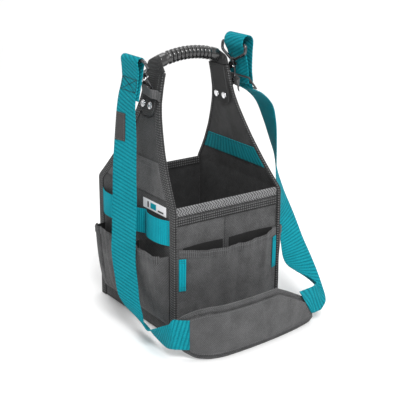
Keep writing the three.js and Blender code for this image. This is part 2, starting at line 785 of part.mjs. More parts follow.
function leftStations() {
  const eye = eyeBar(hooks.left)
  const y = hooks.left.y + hooks.left.strapShift
  const over = hooks.left.loopRadius
  const centreZ = eye.z + eyeWire + clearance + strapThickness / 2 - over
  const stitched = leftRun[0]
  const inner = [
    [stitched.x - 1.9, stitched.z - 25],
    [stitched.x + 2.8, stitched.z - 2],
    [eye.x + over - 2.5, centreZ - 12],
  ]
  const path = inner.map(([x, z]) => new THREE.Vector3(x, y, z))
  for (const s of range(8)) {
    const angle = Math.PI * s
    path.push(new THREE.Vector3(eye.x + over * Math.cos(angle), y, centreZ + over * Math.sin(angle)))
  }
  const top = path.map((p) => ({ p, w: alongDepth }))
  const run = leftRun.map((row) => ({
    p: new THREE.Vector3(row.x, row.y, row.z),
    w: turned(row.turn, row.rise),
  }))
  const fall = { p: new THREE.Vector3(mix(eye.x - over, stitched.x, 0.6), y, mix(centreZ, stitched.z, 0.5)), w: alongDepth }
  const along = padSteps.map((back) => onPad(sleeveStart - clearance - back, back))
  return [...top.slice(0, -1), ...smoothStations([top[top.length - 1], fall, ...run, ...along], leftSteps)]
}

// Bare tag sewn on the outer face of the left strap, along its back edge.
function strapTag() {
  const stations = leftStations().slice(-leftSteps)
  const rows = [tagTop, tagTop - tagHeight / 3, tagTop - (2 * tagHeight) / 3, tagTop - tagHeight].map((z) => {
    const next = stations.findIndex(({ p }) => p.z < z)
    const [above, below] = [stations[next - 1], stations[next]]
    const share = (above.p.z - z) / (above.p.z - below.p.z)
    const w = above.w.clone().lerp(below.w, share)
    const outward = w.clone().cross(below.p.clone().sub(above.p)).normalize()
    outward.multiplyScalar(-Math.sign(outward.x) * (strapThickness / 2 + skinOut(tagThickness)))
    const middle = above.p.clone().lerp(below.p, share).add(outward)
    return [-0.94, 0.02].map((edge) => middle.clone().addScaledVector(w, (edge * strapWidth) / 2))
  })
  return cloth(rows, tagThickness)
}

// Right strap below the adjuster: its width turns past edge-on and then lies up along the pad.
const rightRun = strapRun(1, [
  { out: 21, deep: 0.092, high: 0.8684, turn: -90, rise: 0 },
  { out: 40, deep: 0.097, high: 0.8206, turn: -92, rise: 0 },
  { out: 49, deep: 0.116, high: 0.749, turn: -100, rise: 0 },
  { out: 56, deep: 0.136, high: 0.648, turn: -115, rise: 0 },
  { out: 58, deep: 0.155, high: 0.591, turn: -124, rise: 0 },
  { out: 58, deep: 0.184, high: 0.514, turn: -131, rise: 0 },
  { out: 62, deep: 0.228, high: 0.431, turn: -139, rise: 0 },
  { out: 62, deep: 0.31, high: 0.337, turn: -160, rise: 0 },
  { out: 51, deep: 0.46, high: 0.254, turn: -182, rise: 0 },
  { out: 37, deep: 0.639, high: 0.201, turn: -210, rise: 0.05 },
  { out: 33, deep: 0.785, high: 0.163, turn: -214, rise: 0.55 },
  { out: 35, deep: 0.891, high: 0.129, turn: -214, rise: 1.6 },
  { out: 29, deep: 0.935, high: 0.11, turn: -214, rise: 6 },
])

const adjusterAngle = Math.atan2(20, 16)
const adjusterOut = 26.64
const adjusterMiddle = { x: endX(hooks.right.z) + adjusterOut, z: hooks.right.z - 2 }
const barOffset = (adjusterLength - adjusterBar) / 2
const adjusterY = hooks.right.y + hooks.right.strapShift
const loopNear = 3.7

function rightStrap() {
  const eye = eyeBar(hooks.right)
  const over = hooks.right.loopRadius
  const centreX = eye.x - loopNear + over
  const centreZ = eye.z + 4
  const m = adjusterMiddle
  const inner = [
    [m.x + 2.7, m.z - 1.6], [m.x + 1.2, m.z - 3], [m.x - 1.6, m.z - 2.9], [m.x - 3.4, m.z + 0.6],
    [m.x - 4.4, m.z + 7], [m.x - 5, m.z + 20], [m.x - 7, m.z + 34], [m.x - 9.6, m.z + 44],
    [m.x - 11.3, m.z + 49.5], [eye.x - loopNear + 0.2, m.z + 62],
  ]
  const outer = [
    [centreX + over - 1, centreZ - 16], [m.x + 2.6, m.z + 36], [m.x + 2.8, m.z + 18], [m.x + 4.7, m.z + 3],
    [m.x + 4.2, m.z - 4], [m.x + 4.7, m.z - 10.5], [m.x + 6.9, m.z - 13.6], [m.x + 11, m.z - 13.9],
  ]
  const path = inner.map(([x, z]) => new THREE.Vector3(x, adjusterY, z))
  for (const s of range(8)) {
    const angle = Math.PI * (1 - s)
    path.push(new THREE.Vector3(centreX + over * Math.cos(angle), adjusterY, centreZ + over * Math.sin(angle)))
  }
  outer.forEach(([x, z]) => path.push(new THREE.Vector3(x, adjusterY, z)))
  const top = path.map((p) => ({ p, w: alongDepth }))
  const run = rightRun.map((row) => ({
    p: new THREE.Vector3(row.x, row.y, row.z),
    w: turned(row.turn, row.rise),
  }))
  const upper = smoothStations(top, 56)
  const lower = smoothStations([top[top.length - 1], ...run], rightSteps)
  const rows = [...ribbonRows([...upper.slice(0, -1), ...lower]), ...padSteps.map(slantedRow)]
  return cloth(rows, strapThickness)
}

function adjuster() {
  const half = eyeInnerWidth / 2 + 3
  const long = adjusterLength / 2
  const outline = new THREE.Shape()
  outline.moveTo(-long, 3 - half)
  outline.lineTo(3 - long, -half)
  outline.lineTo(long - 3, -half)
  outline.lineTo(long, 3 - half)
  outline.lineTo(long, half - 3)
  outline.lineTo(long - 3, half)
  outline.lineTo(3 - long, half)
  outline.lineTo(-long, half - 3)
  const plate = new THREE.ExtrudeGeometry(outline, { depth: adjusterThickness, bevelEnabled: false })
  const windowLength = long - 1.5 * adjusterBar
  const windows = [-1, 1].map((side) => new THREE.BoxGeometry(windowLength, eyeInnerWidth - 1, 4 * adjusterThickness)
    .translate(side * (adjusterBar / 2 + windowLength / 2), 0, 0))
  return subtractAll(plate.translate(0, 0, -adjusterThickness / 2), windows)
}

// Pad: a padded strip on its long edge, and the flat sleeve on its outer face that the strap runs into.
const padOutline = [
  { at: 0, low: 0.3, high: 0.72 },
  { at: 0.03, low: 0.15, high: 0.84 },
  { at: 0.09, low: 0.03, high: 0.95 },
  { at: 0.16, low: 0, high: 1 },
  { at: 0.66, low: 0, high: 1 },
  { at: 0.76, low: 0, high: 0.85 },
  { at: 0.85, low: 0, high: 0.7 },
  { at: 0.97, low: 0.02, high: 0.48 },
  { at: 1, low: 0.08, high: 0.42 },
]

const padRows = range(22).map((share) => mix(padLow, padHigh, share))

function shoulderPad() {
  const rows = padRows.map((x) => {
    const at = (x - padLow) / padLength
    const low = tableValue(padOutline, at, 'low')
    const high = tableValue(padOutline, at, 'high')
    return [0, 0.2, 0.5, 0.8, 1].map((share) => new THREE.Vector3(x, padMiddle(x), padHeight * mix(low, high, share)))
  })
  return cloth(rows, padThickness)
}

function padSleeve() {
  const margin = 9
  const upright = padRows.filter((x) => x > sleeveStart + 1 && x < padHigh - 34).map((x) => [x, x])
  const slanted = [[padHigh - 20, padHigh - 31], [padHigh - 5, padHigh - 27.6]]
  const rows = [[sleeveStart, sleeveStart], ...upright, ...slanted].map(([foot, head]) => range(2).map((share) => {
    const x = mix(foot, head, share)
    const at = (x - padLow) / padLength
    const low = padHeight * tableValue(padOutline, at, 'low') + margin
    const high = padHeight * tableValue(padOutline, at, 'high') - margin
    return beforePad(x, skinOut(padSleeveThickness)).setZ(mix(low, high, share))
  }))
  return cloth(rows, padSleeveThickness)
}

// Assembly

const rivetPlaces = (side) => [-1, 1].map((spot) => rivetPlace(side, spot))

for (const [word, side] of [['left', -1], ['right', 1]]) {
  const holes = rivetPlaces(side).map(rivetHole)
  addMesh(`end_panel_${word}`, subtractAll(endPanel(side), holes), 'fabric')
  addMesh(`edge_binding_${word}_front`, subtractAll(edgeBinding(side, -1), holes), 'binding')
  addMesh(`edge_binding_${word}_back`, subtractAll(edgeBinding(side, 1), holes), 'binding')
  addMesh(`neck_webbing_${word}`, subtractAll(neckWebbing(side), holes), 'webbing')
  addMesh(`neck_patch_${word}`, subtractAll(neckPatch(side), holes), 'webbing')
  rivetPlaces(side).forEach((place, i) => addMesh(`rivet_${word}_${i + 1}`, rivet(place), 'rivet'))
  addMesh(`inner_band_${word}`, innerBand(side), 'teal')
  addMesh(`slip_pocket_${word}`, slipPocket(side), 'fabric')
  addMesh(`loop_band_${word}`, loopBand(side), 'teal')
  addMesh(`side_pocket_${word}_front`, bellowsPocket(side, endPockets.front), 'fabric')
  addMesh(`side_pocket_${word}_back`, bellowsPocket(side, endPockets.back), 'fabric')
  addMesh(`front_tab_${word}`, tealTab(side), 'teal')
  const hook = hooks[word]
  const group = hookPlace(hook)
  model.add(group)
  addMesh(`snap_hook_${word}`, hookBody(), 'metal', group)
  addMesh(`hook_gate_${word}`, gateLever(), 'metal', group)
  addMesh(`hook_eye_${word}`, hookEye(), 'metal', group)
  addMesh(`hook_loop_${word}`, hookLoop(hook), 'webbing')
  addMesh(`hook_band_${word}`, hookBand(hook), 'tab')
}
addMesh('side_label', sideLabel(), 'label')
addMesh('base_panel', new THREE.BoxGeometry(2 * innerHalf, bodyDepth, baseThickness).translate(0, 0, baseThickness / 2),
  'fabric')
for (const [word, place] of [['front', onFront], ['back', onBack]]) {
  addMesh(`${word}_panel`,
    flatWall(place, innerHalf, baseThickness + clearance, rimHeight, -panelThickness / 2, panelThickness), 'fabric')
  addMesh(`rim_tape_${word}`, rimTape(place), 'rimTape')
}
addMesh('front_pocket_upper',
  flatWall(onFront, frontPocketHalf, pocketSeamHeight, upperPocketTop, upperPocketOut, pocketThickness), 'fabric')
addMesh('front_pocket_tape',
  flatWall(onFront, frontPocketHalf, upperPocketTop - pocketTapeWidth, upperPocketTop, pocketTapeOut, tapeThickness),
  'binding')
addMesh('front_pocket_lower', frontPocket(), 'fabric')
addMesh('handle_grip', grip(), 'grip')
addMesh('strap_left', cloth(ribbonRows(leftStations()), strapThickness), 'teal')
addMesh('strap_tag', strapTag(), 'tab')
addMesh('strap_right', rightStrap(), 'teal')
const adjusterMesh = addMesh('strap_adjuster', adjuster(), 'metal')
adjusterMesh.position.set(adjusterMiddle.x, adjusterY, adjusterMiddle.z)
adjusterMesh.rotation.set(0, adjusterAngle, 0)
addMesh('shoulder_pad', shoulderPad(), 'fabric')
addMesh('pad_sleeve', padSleeve(), 'fabric')

export default model
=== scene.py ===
# Looks of an open top tool tote: woven cloth, tapes, webbing, hooks and a padded strap.
# Lengths are in millimetres until a mesh is made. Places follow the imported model: +X along the handle,
# +Z up, the front pockets towards -Y.
import math

import bpy
import numpy as np
from mathutils import Matrix, Vector


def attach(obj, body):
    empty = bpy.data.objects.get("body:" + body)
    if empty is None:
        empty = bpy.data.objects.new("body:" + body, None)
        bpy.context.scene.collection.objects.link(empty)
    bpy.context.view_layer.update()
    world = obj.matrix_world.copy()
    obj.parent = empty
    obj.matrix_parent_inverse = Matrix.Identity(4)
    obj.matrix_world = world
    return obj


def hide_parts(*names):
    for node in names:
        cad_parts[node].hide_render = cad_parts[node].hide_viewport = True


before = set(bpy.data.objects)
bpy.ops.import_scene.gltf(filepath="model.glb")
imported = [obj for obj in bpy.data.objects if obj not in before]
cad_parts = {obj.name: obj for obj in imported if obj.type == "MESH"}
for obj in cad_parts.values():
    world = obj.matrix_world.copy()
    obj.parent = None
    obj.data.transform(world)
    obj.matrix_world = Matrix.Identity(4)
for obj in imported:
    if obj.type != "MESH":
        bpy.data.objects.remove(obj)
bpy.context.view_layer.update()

# Camera at the photograph's angle

TARGET = Vector((0, 0, 0.2))
AZIMUTH, ELEVATION, DISTANCE = math.radians(-34.25), math.radians(18.42), 1.72465
camera = bpy.data.objects.new("camera", bpy.data.cameras.new("camera"))
bpy.context.scene.collection.objects.link(camera)
away = Vector((
    math.sin(AZIMUTH) * math.cos(ELEVATION),
    -math.cos(AZIMUTH) * math.cos(ELEVATION),
    math.sin(ELEVATION),
))
camera.location = TARGET + away * DISTANCE
camera.rotation_euler = (-away).to_track_quat("-Z", "Y").to_euler()
camera.data.lens = 91.0
camera.data.shift_x = 0.0302
camera.data.shift_y = -0.0172
bpy.context.scene.camera = camera

# Sizes shared with the solids

BODY_HALF, DEPTH_HALF, FIN_HALF = 105.0, 113.0, 118.0
RIM, NECK_TOP, LEAN = 221.5, 418.0, 0.2127
PANEL, GAP = 2.4, 0.3
INNER_HALF = 102.3
TRIM_HALF = 100.5
POCKET_HALF = 100.2
STRAP_WIDTH, STRAP_THICK = 50.0, 1.6
LEAN_ANGLE = math.atan(LEAN)
SIDES = (("left", -1), ("right", 1))
UP = np.array([0.0, 0, 1])
FRONT, LEFT = (0, -1, 0), (-1, 0, 0)
lin = np.linspace

# Share of the way from the rim to the neck's top, share of the end panel's half depth
NECK = np.array([
    (0, 1), (0.12, 0.835), (0.23, 0.695), (0.4, 0.51), (0.53, 0.395),
    (0.65, 0.3), (0.76, 0.24), (0.88, 0.218), (1, 0.208),
])


def pchip(xs, ys, x):
    """Smooth curve through the points that never overshoots them."""
    xs, ys, x = np.asarray(xs, float), np.asarray(ys, float), np.asarray(x, float)
    step = np.diff(xs)
    shape = (-1,) + (1,) * (ys.ndim - 1)
    slope = np.diff(ys, axis=0) / step.reshape(shape)
    tangent = np.zeros_like(ys)
    a, b = slope[:-1], slope[1:]
    same = a * b > 0
    tangent[1:-1][same] = 2 * a[same] * b[same] / (a[same] + b[same])
    tangent[0], tangent[-1] = slope[0], slope[-1]
    i = np.clip(np.searchsorted(xs, x, side="right") - 1, 0, len(xs) - 2)
    h = step[i]
    t = np.clip((x - xs[i]) / h, 0, 1)
    if ys.ndim > 1:
        t, h = t[..., None], h[..., None]
    return (
        (2 * t**3 - 3 * t**2 + 1) * ys[i] + (t**3 - 2 * t**2 + t) * h * tangent[i]
        + (3 * t**2 - 2 * t**3) * ys[i + 1] + (t**3 - t**2) * h * tangent[i + 1]
    )


def end_x(z):
    return BODY_HALF - LEAN * np.maximum(np.asarray(z, float) - RIM, 0)


def end_half(z):
    """Half of the end panel's depth at a height, its corners eased over a few millimetres."""
    z = np.asarray(z, float)
    total = 0
    for d in lin(-5, 5, 7):
        total = total + np.interp((z + d - RIM) / (NECK_TOP - RIM), NECK[:, 0], NECK[:, 1])
    return FIN_HALF * total / 7


def on_end(side, u, z, out):
    u, z, out = np.broadcast_arrays(np.asarray(u, float), np.asarray(z, float), np.asarray(out, float))
    return np.stack([side * (end_x(z) + out), u, z], -1)


def on_face(front, u, z, out):
    u, z, out = np.broadcast_arrays(np.asarray(u, float), np.asarray(z, float), np.asarray(out, float))
    return np.stack([u, front * (DEPTH_HALF + out), z], -1)


def unit(v):
    return v / np.maximum(np.linalg.norm(v, axis=-1, keepdims=True), 1e-9)


def run_of(points):
    """Length along a run of points, at each of them."""
    return np.concatenate([[0], np.cumsum(np.linalg.norm(np.diff(points, axis=0), axis=1))])


# Materials


class Graph:
    """A material's node graph, built up from small steps."""

    def __init__(self, name):
        self.mat = bpy.data.materials.new(name)
        self.mat.use_nodes = True
        self.nodes = self.mat.node_tree.nodes
        self.links = self.mat.node_tree.links
        self.bsdf = self.nodes["Principled BSDF"]

    def set(self, socket, value):
        if isinstance(value, bpy.types.NodeSocket):
            self.links.new(value, socket)
        else:
            socket.default_value = value

    def math(self, op, a, b=0.0, clamp=False):
        node = self.nodes.new("ShaderNodeMath")
        node.operation = op
        node.use_clamp = clamp
        self.set(node.inputs[0], a)
        self.set(node.inputs[1], b)
        return node.outputs[0]

    def uv(self):
        node = self.nodes.new("ShaderNodeUVMap")
        split = self.nodes.new("ShaderNodeSeparateXYZ")
        self.links.new(node.outputs[0], split.inputs[0])
        return split.outputs[0], split.outputs[1]

    def place(self):
        return self.nodes.new("ShaderNodeTexCoord").outputs["Object"]

    def noise(self, scale, detail=2.0, rough=0.5):
        node = self.nodes.new("ShaderNodeTexNoise")
        self.links.new(self.place(), node.inputs["Vector"])
        node.inputs["Scale"].default_value = scale
        node.inputs["Detail"].default_value = detail
        node.inputs["Roughness"].default_value = rough
        return node.outputs["Fac"]

    def wave(self, length, pitch, shift=0.0):
        """0 to 1 along a length in metres, once each pitch."""
        turn = self.math("ADD", self.math("MULTIPLY", length, 2 * math.pi / pitch), shift)
        return self.half(self.math("SINE", turn))

    def half(self, value):
        return self.math("ADD", self.math("MULTIPLY", value, 0.5), 0.5)

    def sum(self, *pairs):
        total = 0.0
        for value, weight in pairs:
            total = self.math("ADD", total, self.math("MULTIPLY", value, weight))
        return total

    def colour(self, fac, stops):
        node = self.nodes.new("ShaderNodeValToRGB")
        ramp = node.color_ramp
        while len(ramp.elements) < len(stops):
            ramp.elements.new(0.5)
        for element, (at, rgb) in zip(ramp.elements, stops):
            element.position = at
            element.color = (*rgb, 1)
        self.set(node.inputs[0], fac)
        self.links.new(node.outputs[0], self.bsdf.inputs["Base Color"])

    def bump(self, height, distance, strength=1.0):
        node = self.nodes.new("ShaderNodeBump")
        node.inputs["Distance"].default_value = distance
        node.inputs["Strength"].default_value = strength
        self.set(node.inputs["Height"], height)
        existing = self.bsdf.inputs["Normal"].links
        if existing:
            self.links.new(existing[0].from_socket, node.inputs["Normal"])
        self.links.new(node.outputs[0], self.bsdf.inputs["Normal"])

    def rough(self, value, spread=0.0, scale=400.0):
        if spread:
            value = self.math("ADD", self.math("MULTIPLY", self.noise(scale), spread), value - spread / 2)
        self.set(self.bsdf.inputs["Roughness"], value)


def cloth_material(name, stops, weave, relief=0.00025, mottle=0.35, ripple=0.0, roughness=0.85, sheen=0.12,
                   gloss=0.25):
    """Cloth whose weave is 0 to 1 from its surface lengths, with mottling, a raised weave and soft ripples."""
    g = Graph(name)
    threads = weave(g, *g.uv())
    coarse = g.noise(38, 3.0)
    fine = g.noise(520, 2.0, 0.7)
    fac = g.sum((threads, 0.42), (coarse, mottle), (fine, 0.55 - mottle * 0.5))
    g.colour(fac, stops)
    if ripple:
        g.bump(g.noise(17, 2.0), ripple)
        g.bump(g.noise(70, 3.0), ripple * 0.22)
    g.bump(g.sum((threads, 1.0), (fine, 0.8)), relief)
    g.rough(roughness, 0.12)
    g.bsdf.inputs["Sheen Weight"].default_value = sheen
    g.bsdf.inputs["Sheen Roughness"].default_value = 0.5
    g.bsdf.inputs["Specular IOR Level"].default_value = gloss
    return g.mat


def plain_weave(pitch):
    return lambda g, u, v: g.math("ABSOLUTE", g.math("SUBTRACT", g.wave(u, pitch), g.wave(v, pitch)))


def painted_shade_weave(pitch):
    """Plain weave with painted shade that darkens it towards the bottom of the tote."""
    def weave(g, u, v):
        split = g.nodes.new("ShaderNodeSeparateXYZ")
        g.links.new(g.place(), split.inputs[0])
        # Painted shade: the weave is lighter higher up the wall, so the lower inside stays dark.
        high = g.math("MULTIPLY", g.math("SUBTRACT", split.outputs[2], 0.17), 8.0, clamp=True)
        return g.sum((plain_weave(pitch)(g, u, v), 0.55), (high, 0.5))
    return weave


def ribbed(pitch, fine=0.0021):
    """Ribs that slant across the webbing, more so near its first end."""
    def weave(g, u, v):
        slant = g.math("MAXIMUM", g.math("SUBTRACT", 0.62, g.math("MULTIPLY", v, 2.2)), 0.27)
        along = g.math("SUBTRACT", v, g.math("MULTIPLY", u, slant))
        rib = g.math("POWER", g.wave(along, pitch), 0.6)
        thread = g.wave(g.math("ADD", u, g.math("MULTIPLY", v, 0.35)), fine)
        return g.sum((rib, 0.6), (thread, 0.34))
    return weave


def herringbone(pitch, column):
    def weave(g, u, v):
        saw = g.math("PINGPONG", v, column)
        return g.wave(g.math("ADD", u, saw), pitch)
    return weave


def dotted(pitch):
    return lambda g, u, v: g.math("MULTIPLY", g.wave(u, pitch), g.wave(v, pitch))


def grosgrain(pitch):
    return lambda g, u, v: g.sum((g.wave(u, pitch), 0.75), (g.wave(v, pitch * 0.45), 0.25))


def grey(level):
    return level, level, level * 1.02


def greys(*stops):
    """Grey colour stops, each given by its place and its level."""
    return [(at, grey(level)) for at, level in zip(stops[::2], stops[1::2])]


M = {
    "fabric": cloth_material(
        "dark grey cloth", greys(0.25, 0.01, 0.55, 0.036, 0.8, 0.1),
        plain_weave(0.0028), 0.0005, ripple=0.006),
    "pocket": cloth_material(
        "pocket cloth", greys(0.25, 0.015, 0.55, 0.064, 0.8, 0.165),
        plain_weave(0.0028), 0.0005, ripple=0.008),
    # Dark lining cloth that is also painted shade: it darkens the inner faces of the pockets, the floor inside
    # the tote and the sheets behind the lower pocket's mouth.
    "lining": cloth_material(
        "dark lining and painted shade", greys(0.2, 0.006, 0.6, 0.015, 0.9, 0.035),
        plain_weave(0.0026), 0.0002, ripple=0.004, sheen=0.05),
    # Inner faces of the walls: a darker copy of the wall cloth as painted shade, with more painted shade
    # towards the bottom.
    "inside": cloth_material(
        "inner wall cloth with painted shade", greys(0.2, 0.007, 0.55, 0.03, 0.85, 0.08),
        painted_shade_weave(0.0028), 0.0004, ripple=0.006, sheen=0.1),
    "hem": cloth_material(
        "hem cloth", greys(0.2, 0.02, 0.55, 0.05, 0.85, 0.12),
        grosgrain(0.0034), 0.0005),
    "binding": cloth_material(
        "dotted binding tape", greys(0.15, 0.006, 0.4, 0.022, 0.75, 0.15),
        dotted(0.0042), 0.0008, mottle=0.15),
    "rim": cloth_material(
        "grey herringbone tape", greys(0.15, 0.01, 0.45, 0.085, 0.75, 0.26),
        herringbone(0.0052, 0.0045), 0.0006, mottle=0.15),
    "teal": cloth_material(
        "teal ribbed webbing",
        [(0.15, (0.0, 0.055, 0.07)), (0.5, (0.002, 0.2, 0.25)), (0.85, (0.012, 0.36, 0.43))],
        ribbed(0.0062), 0.0009, mottle=0.12, sheen=0.0, gloss=0.12),
    "teal_flat": cloth_material(
        "teal webbing band",
        [(0.15, (0.0, 0.12, 0.15)), (0.5, (0.001, 0.25, 0.32)), (0.85, (0.01, 0.38, 0.46))],
        grosgrain(0.0038), 0.0004, mottle=0.2, sheen=0.0, gloss=0.12),
    "teal_ribs": cloth_material(
        "upright ribbed teal band",
        [(0.15, (0.0, 0.05, 0.065)), (0.5, (0.004, 0.2, 0.24)), (0.85, (0.02, 0.32, 0.38))],
        lambda g, u, v: g.sum((g.wave(u, 0.0085), 0.6), (g.wave(u, 0.0029), 0.4)), 0.0006, mottle=0.2,
        sheen=0.0, gloss=0.12),
    "webbing": cloth_material(
        "dark neck webbing", greys(0.2, 0.009, 0.55, 0.02, 0.85, 0.045),
        plain_weave(0.0034), 0.0004, sheen=0.1),
    "tab": cloth_material(
        "grey grosgrain", greys(0.2, 0.03, 0.55, 0.07, 0.85, 0.14), grosgrain(0.0028), 0.0004),
    "tag": cloth_material(
        "dark tag cloth", greys(0.2, 0.015, 0.55, 0.035, 0.85, 0.07), plain_weave(0.0016), 0.0002),
    "pad": cloth_material(
        "pad cloth", greys(0.25, 0.03, 0.55, 0.068, 0.8, 0.14),
        plain_weave(0.0028), 0.0004, ripple=0.007),
    "label": cloth_material(
        "white label cloth", greys(0.1, 0.5, 0.5, 0.72, 0.9, 0.85), plain_weave(0.0012), 0.0001),
    # Dark print on the label; the same material makes the painted shadow line under the upper pocket's tape.
    "ink": cloth_material(
        "dark label print and painted shadow", greys(0.1, 0.005, 0.5, 0.014, 0.9, 0.04), plain_weave(0.0012), 0.0001),
}


def thread_material(name, rgb):
    g = Graph(name)
    fine = g.noise(900, 1.0)
    g.colour(fine, [(0.3, tuple(c * 0.7 for c in rgb)), (0.7, rgb)])
    g.rough(0.7, 0.1)
    return g.mat


M["thread_dark"] = thread_material("dark thread", (0.01, 0.01, 0.011))
M["thread_grey"] = thread_material("grey thread", (0.16, 0.16, 0.165))
M["thread_teal"] = thread_material("teal thread", (0.002, 0.075, 0.09))
M["thread_deep"] = thread_material("dark teal thread", (0.001, 0.022, 0.028))


def metal_material(name, rgb, roughness, wear, metallic=1.0):
    g = Graph(name)
    patch = g.noise(160, 4.0, 0.6)
    g.colour(patch, [(0.35, tuple(c * 0.75 for c in rgb)), (0.6, rgb), (0.8, wear)])
    g.bump(g.noise(900, 2.0), 0.00006)
    g.rough(roughness, 0.16, 240)
    g.bsdf.inputs["Metallic"].default_value = metallic
    return g.mat


M["metal"] = metal_material("gunmetal", (0.1, 0.1, 0.105), 0.24, (0.3, 0.3, 0.31), 0.9)
M["slide"] = metal_material("dark slide", (0.07, 0.07, 0.073), 0.35, (0.2, 0.2, 0.21), 0.6)
M["rivet"] = metal_material("bright nickel", (0.8, 0.8, 0.82), 0.16, (0.95, 0.95, 0.96))


def grip_material():
    g = Graph("moulded rubber")
    g.colour(g.noise(90, 4.0), greys(0.3, 0.006, 0.7, 0.016))
    g.bump(g.noise(1400, 2.0), 0.00012)
    g.rough(0.26, 0.12, 300)
    g.bsdf.inputs["Coat Weight"].default_value = 0.8
    g.bsdf.inputs["Coat Roughness"].default_value = 0.12
    return g.mat


M["grip"] = grip_material()

# Meshes

# Slots of the materials that don't give their own name to the slot
SLOTS = dict.fromkeys(("pocket", "lining", "hem", "pad"), "fabric") | dict.fromkeys(
    ("teal_flat", "teal_ribs"), "teal") | {"tag": "tab", "slide": "metal"}


def make(name, points, faces, uvs, mats, replaces=(), body="tote", slot=None, face_mats=None, bevel=0.0,
         angle=50):
    """A mesh of materials named by their keys, on a body of the part."""
    mesh = bpy.data.meshes.new(name)
    mesh.from_pydata((np.asarray(points) * 0.001).tolist(), [], faces)
    layer = mesh.uv_layers.new(name="lengths")
    index = np.empty(len(mesh.loops), int)
    mesh.loops.foreach_get("vertex_index", index)
    layer.data.foreach_set("uv", (np.asarray(uvs)[index] * 0.001).ravel())
    for key in mats:
        mesh.materials.append(M[key])
    if face_mats is not None:
        mesh.polygons.foreach_set("material_index", np.asarray(face_mats, int))
    mesh.shade_smooth()
    mesh.set_sharp_from_angle(angle=math.radians(angle))
    obj = bpy.data.objects.new(name, mesh)
    bpy.context.scene.collection.objects.link(obj)
    if bevel:
        mod = obj.modifiers.new("rounded edges", "BEVEL")
        mod.width = bevel * 0.001
        mod.segments = 2
        mod.limit_method = "ANGLE"
        mod.angle_limit = math.radians(50)
    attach(obj, body)
    if replaces:
        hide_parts(*replaces)
    return obj


def grid_normals(grid, hint):
    du = np.gradient(grid, axis=1)
    dv = np.gradient(grid, axis=0)
    normal = unit(np.cross(du, dv))
    if np.sum(normal * np.asarray(hint, float)) < 0:
        normal = -normal
    return normal


def lengths(grid):
    """Surface lengths of a grid in millimetres: across it and up it."""
    across = np.linalg.norm(np.diff(grid, axis=1), axis=2).mean(0)
    up = np.linalg.norm(np.diff(grid, axis=0), axis=2).mean(1)
    u = np.concatenate([[0], np.cumsum(across)])
    v = np.concatenate([[0], np.cumsum(up)])
    return np.stack(np.meshgrid(u - u.mean(), v), -1)


def shell(name, grid, thickness, mat, hint, replaces=(), inner=None, turn=False, **more):
    """Cloth of a thickness about a grid of points. The hint points to its outer face."""
    rows, columns = grid.shape[:2]
    normal = grid_normals(grid, hint)
    half = np.asarray(thickness)[..., None] / 2 if np.ndim(thickness) else thickness / 2
    points = np.concatenate([(grid + normal * half).reshape(-1, 3), (grid - normal * half).reshape(-1, 3)])
    uv = lengths(grid).reshape(-1, 2)
    if turn:
        uv = uv[:, ::-1]
    under = rows * columns
    j, i = np.meshgrid(np.arange(rows - 1), np.arange(columns - 1), indexing="ij")
    a = (j * columns + i).ravel()
    quads = np.stack([a, a + 1, a + columns + 1, a + columns], 1)
    rim = np.concatenate([
        np.arange(columns), np.arange(1, rows) * columns + columns - 1,
        (rows - 1) * columns + np.arange(columns - 2, -1, -1), np.arange(rows - 2, 0, -1) * columns,
    ])
    after = np.roll(rim, -1)
    sides = np.stack([after, rim, rim + under, after + under], 1)
    faces = np.concatenate([quads, quads[:, ::-1] + under, sides])
    cross = np.cross(grid[0, 1] - grid[0, 0], grid[1, 0] - grid[0, 0])
    if np.dot(cross, normal[0, 0]) < 0:
        faces = faces[:, ::-1]
    mats, face_mats = [mat], None
    if inner:
        mats.append(inner)
        face_mats = np.zeros(len(faces), int)
        face_mats[len(quads):2 * len(quads)] = 1
    return make(name, points, faces.tolist(), np.concatenate([uv, uv]), mats, replaces,
                face_mats=face_mats, bevel=more.pop("bevel", np.min(thickness) * 0.36), **more)


def sheet(name, surface, s, t, *rest, **more):
    """Cloth over a surface that is given by two shares. A count stands for that many even shares."""
    s, t = (lin(0, 1, v) if isinstance(v, int) else v for v in (s, t))
    return shell(name, surface(*np.meshgrid(s, t)), *rest, **more)


def skin(count, sides, closed=False):
    """Faces through rings of points, with a cap at both ends unless closed."""
    faces = []
    for a in range(count if closed else count - 1):
        b = (a + 1) % count
        for k in range(sides):
            m = (k + 1) % sides
            faces.append((a * sides + k, a * sides + m, b * sides + m, b * sides + k))
    if not closed:
        faces += [tuple(range(sides))[::-1], tuple(range((count - 1) * sides, count * sides))]
    return faces


def tube(name, sections, mat, closed=False, **more):
    """Skin through rings of points, turned so that its faces look outwards."""
    sections = np.asarray(sections)
    count, sides = sections.shape[:2]
    faces = skin(count, sides, closed)
    centre = sections.mean(1)
    along = run_of(centre)
    girth = np.linalg.norm(sections[0] - np.roll(sections[0], 1, 0), axis=1).sum()
    u = lin(0, girth, sides, endpoint=False)
    uv = np.stack(np.meshgrid(u, along), -1).reshape(-1, 2)
    points = sections.reshape(-1, 3)
    volume = 0
    for face in faces[: sides * (count - 1)]:
        a, b, c, d = (points[i] - centre[0] for i in face)
        volume += np.dot(a, np.cross(b, c)) + np.dot(a, np.cross(c, d))
    if volume < 0:
        faces = [tuple(reversed(f)) for f in faces]
    return make(name, points, faces, uv, [mat], **more)


def join_parts(parts):
    """Points, faces and lengths of several small meshes as one."""
    points, faces, uvs, base = [], [], [], 0
    for p, f, uv in parts:
        points.append(p)
        uvs.append(uv)
        faces += [tuple(i + base for i in face) for face in f]
        base += len(p)
    return np.concatenate(points), faces, np.concatenate(uvs)


STITCHES = {"dark": [], "grey": [], "teal": [], "deep": []}


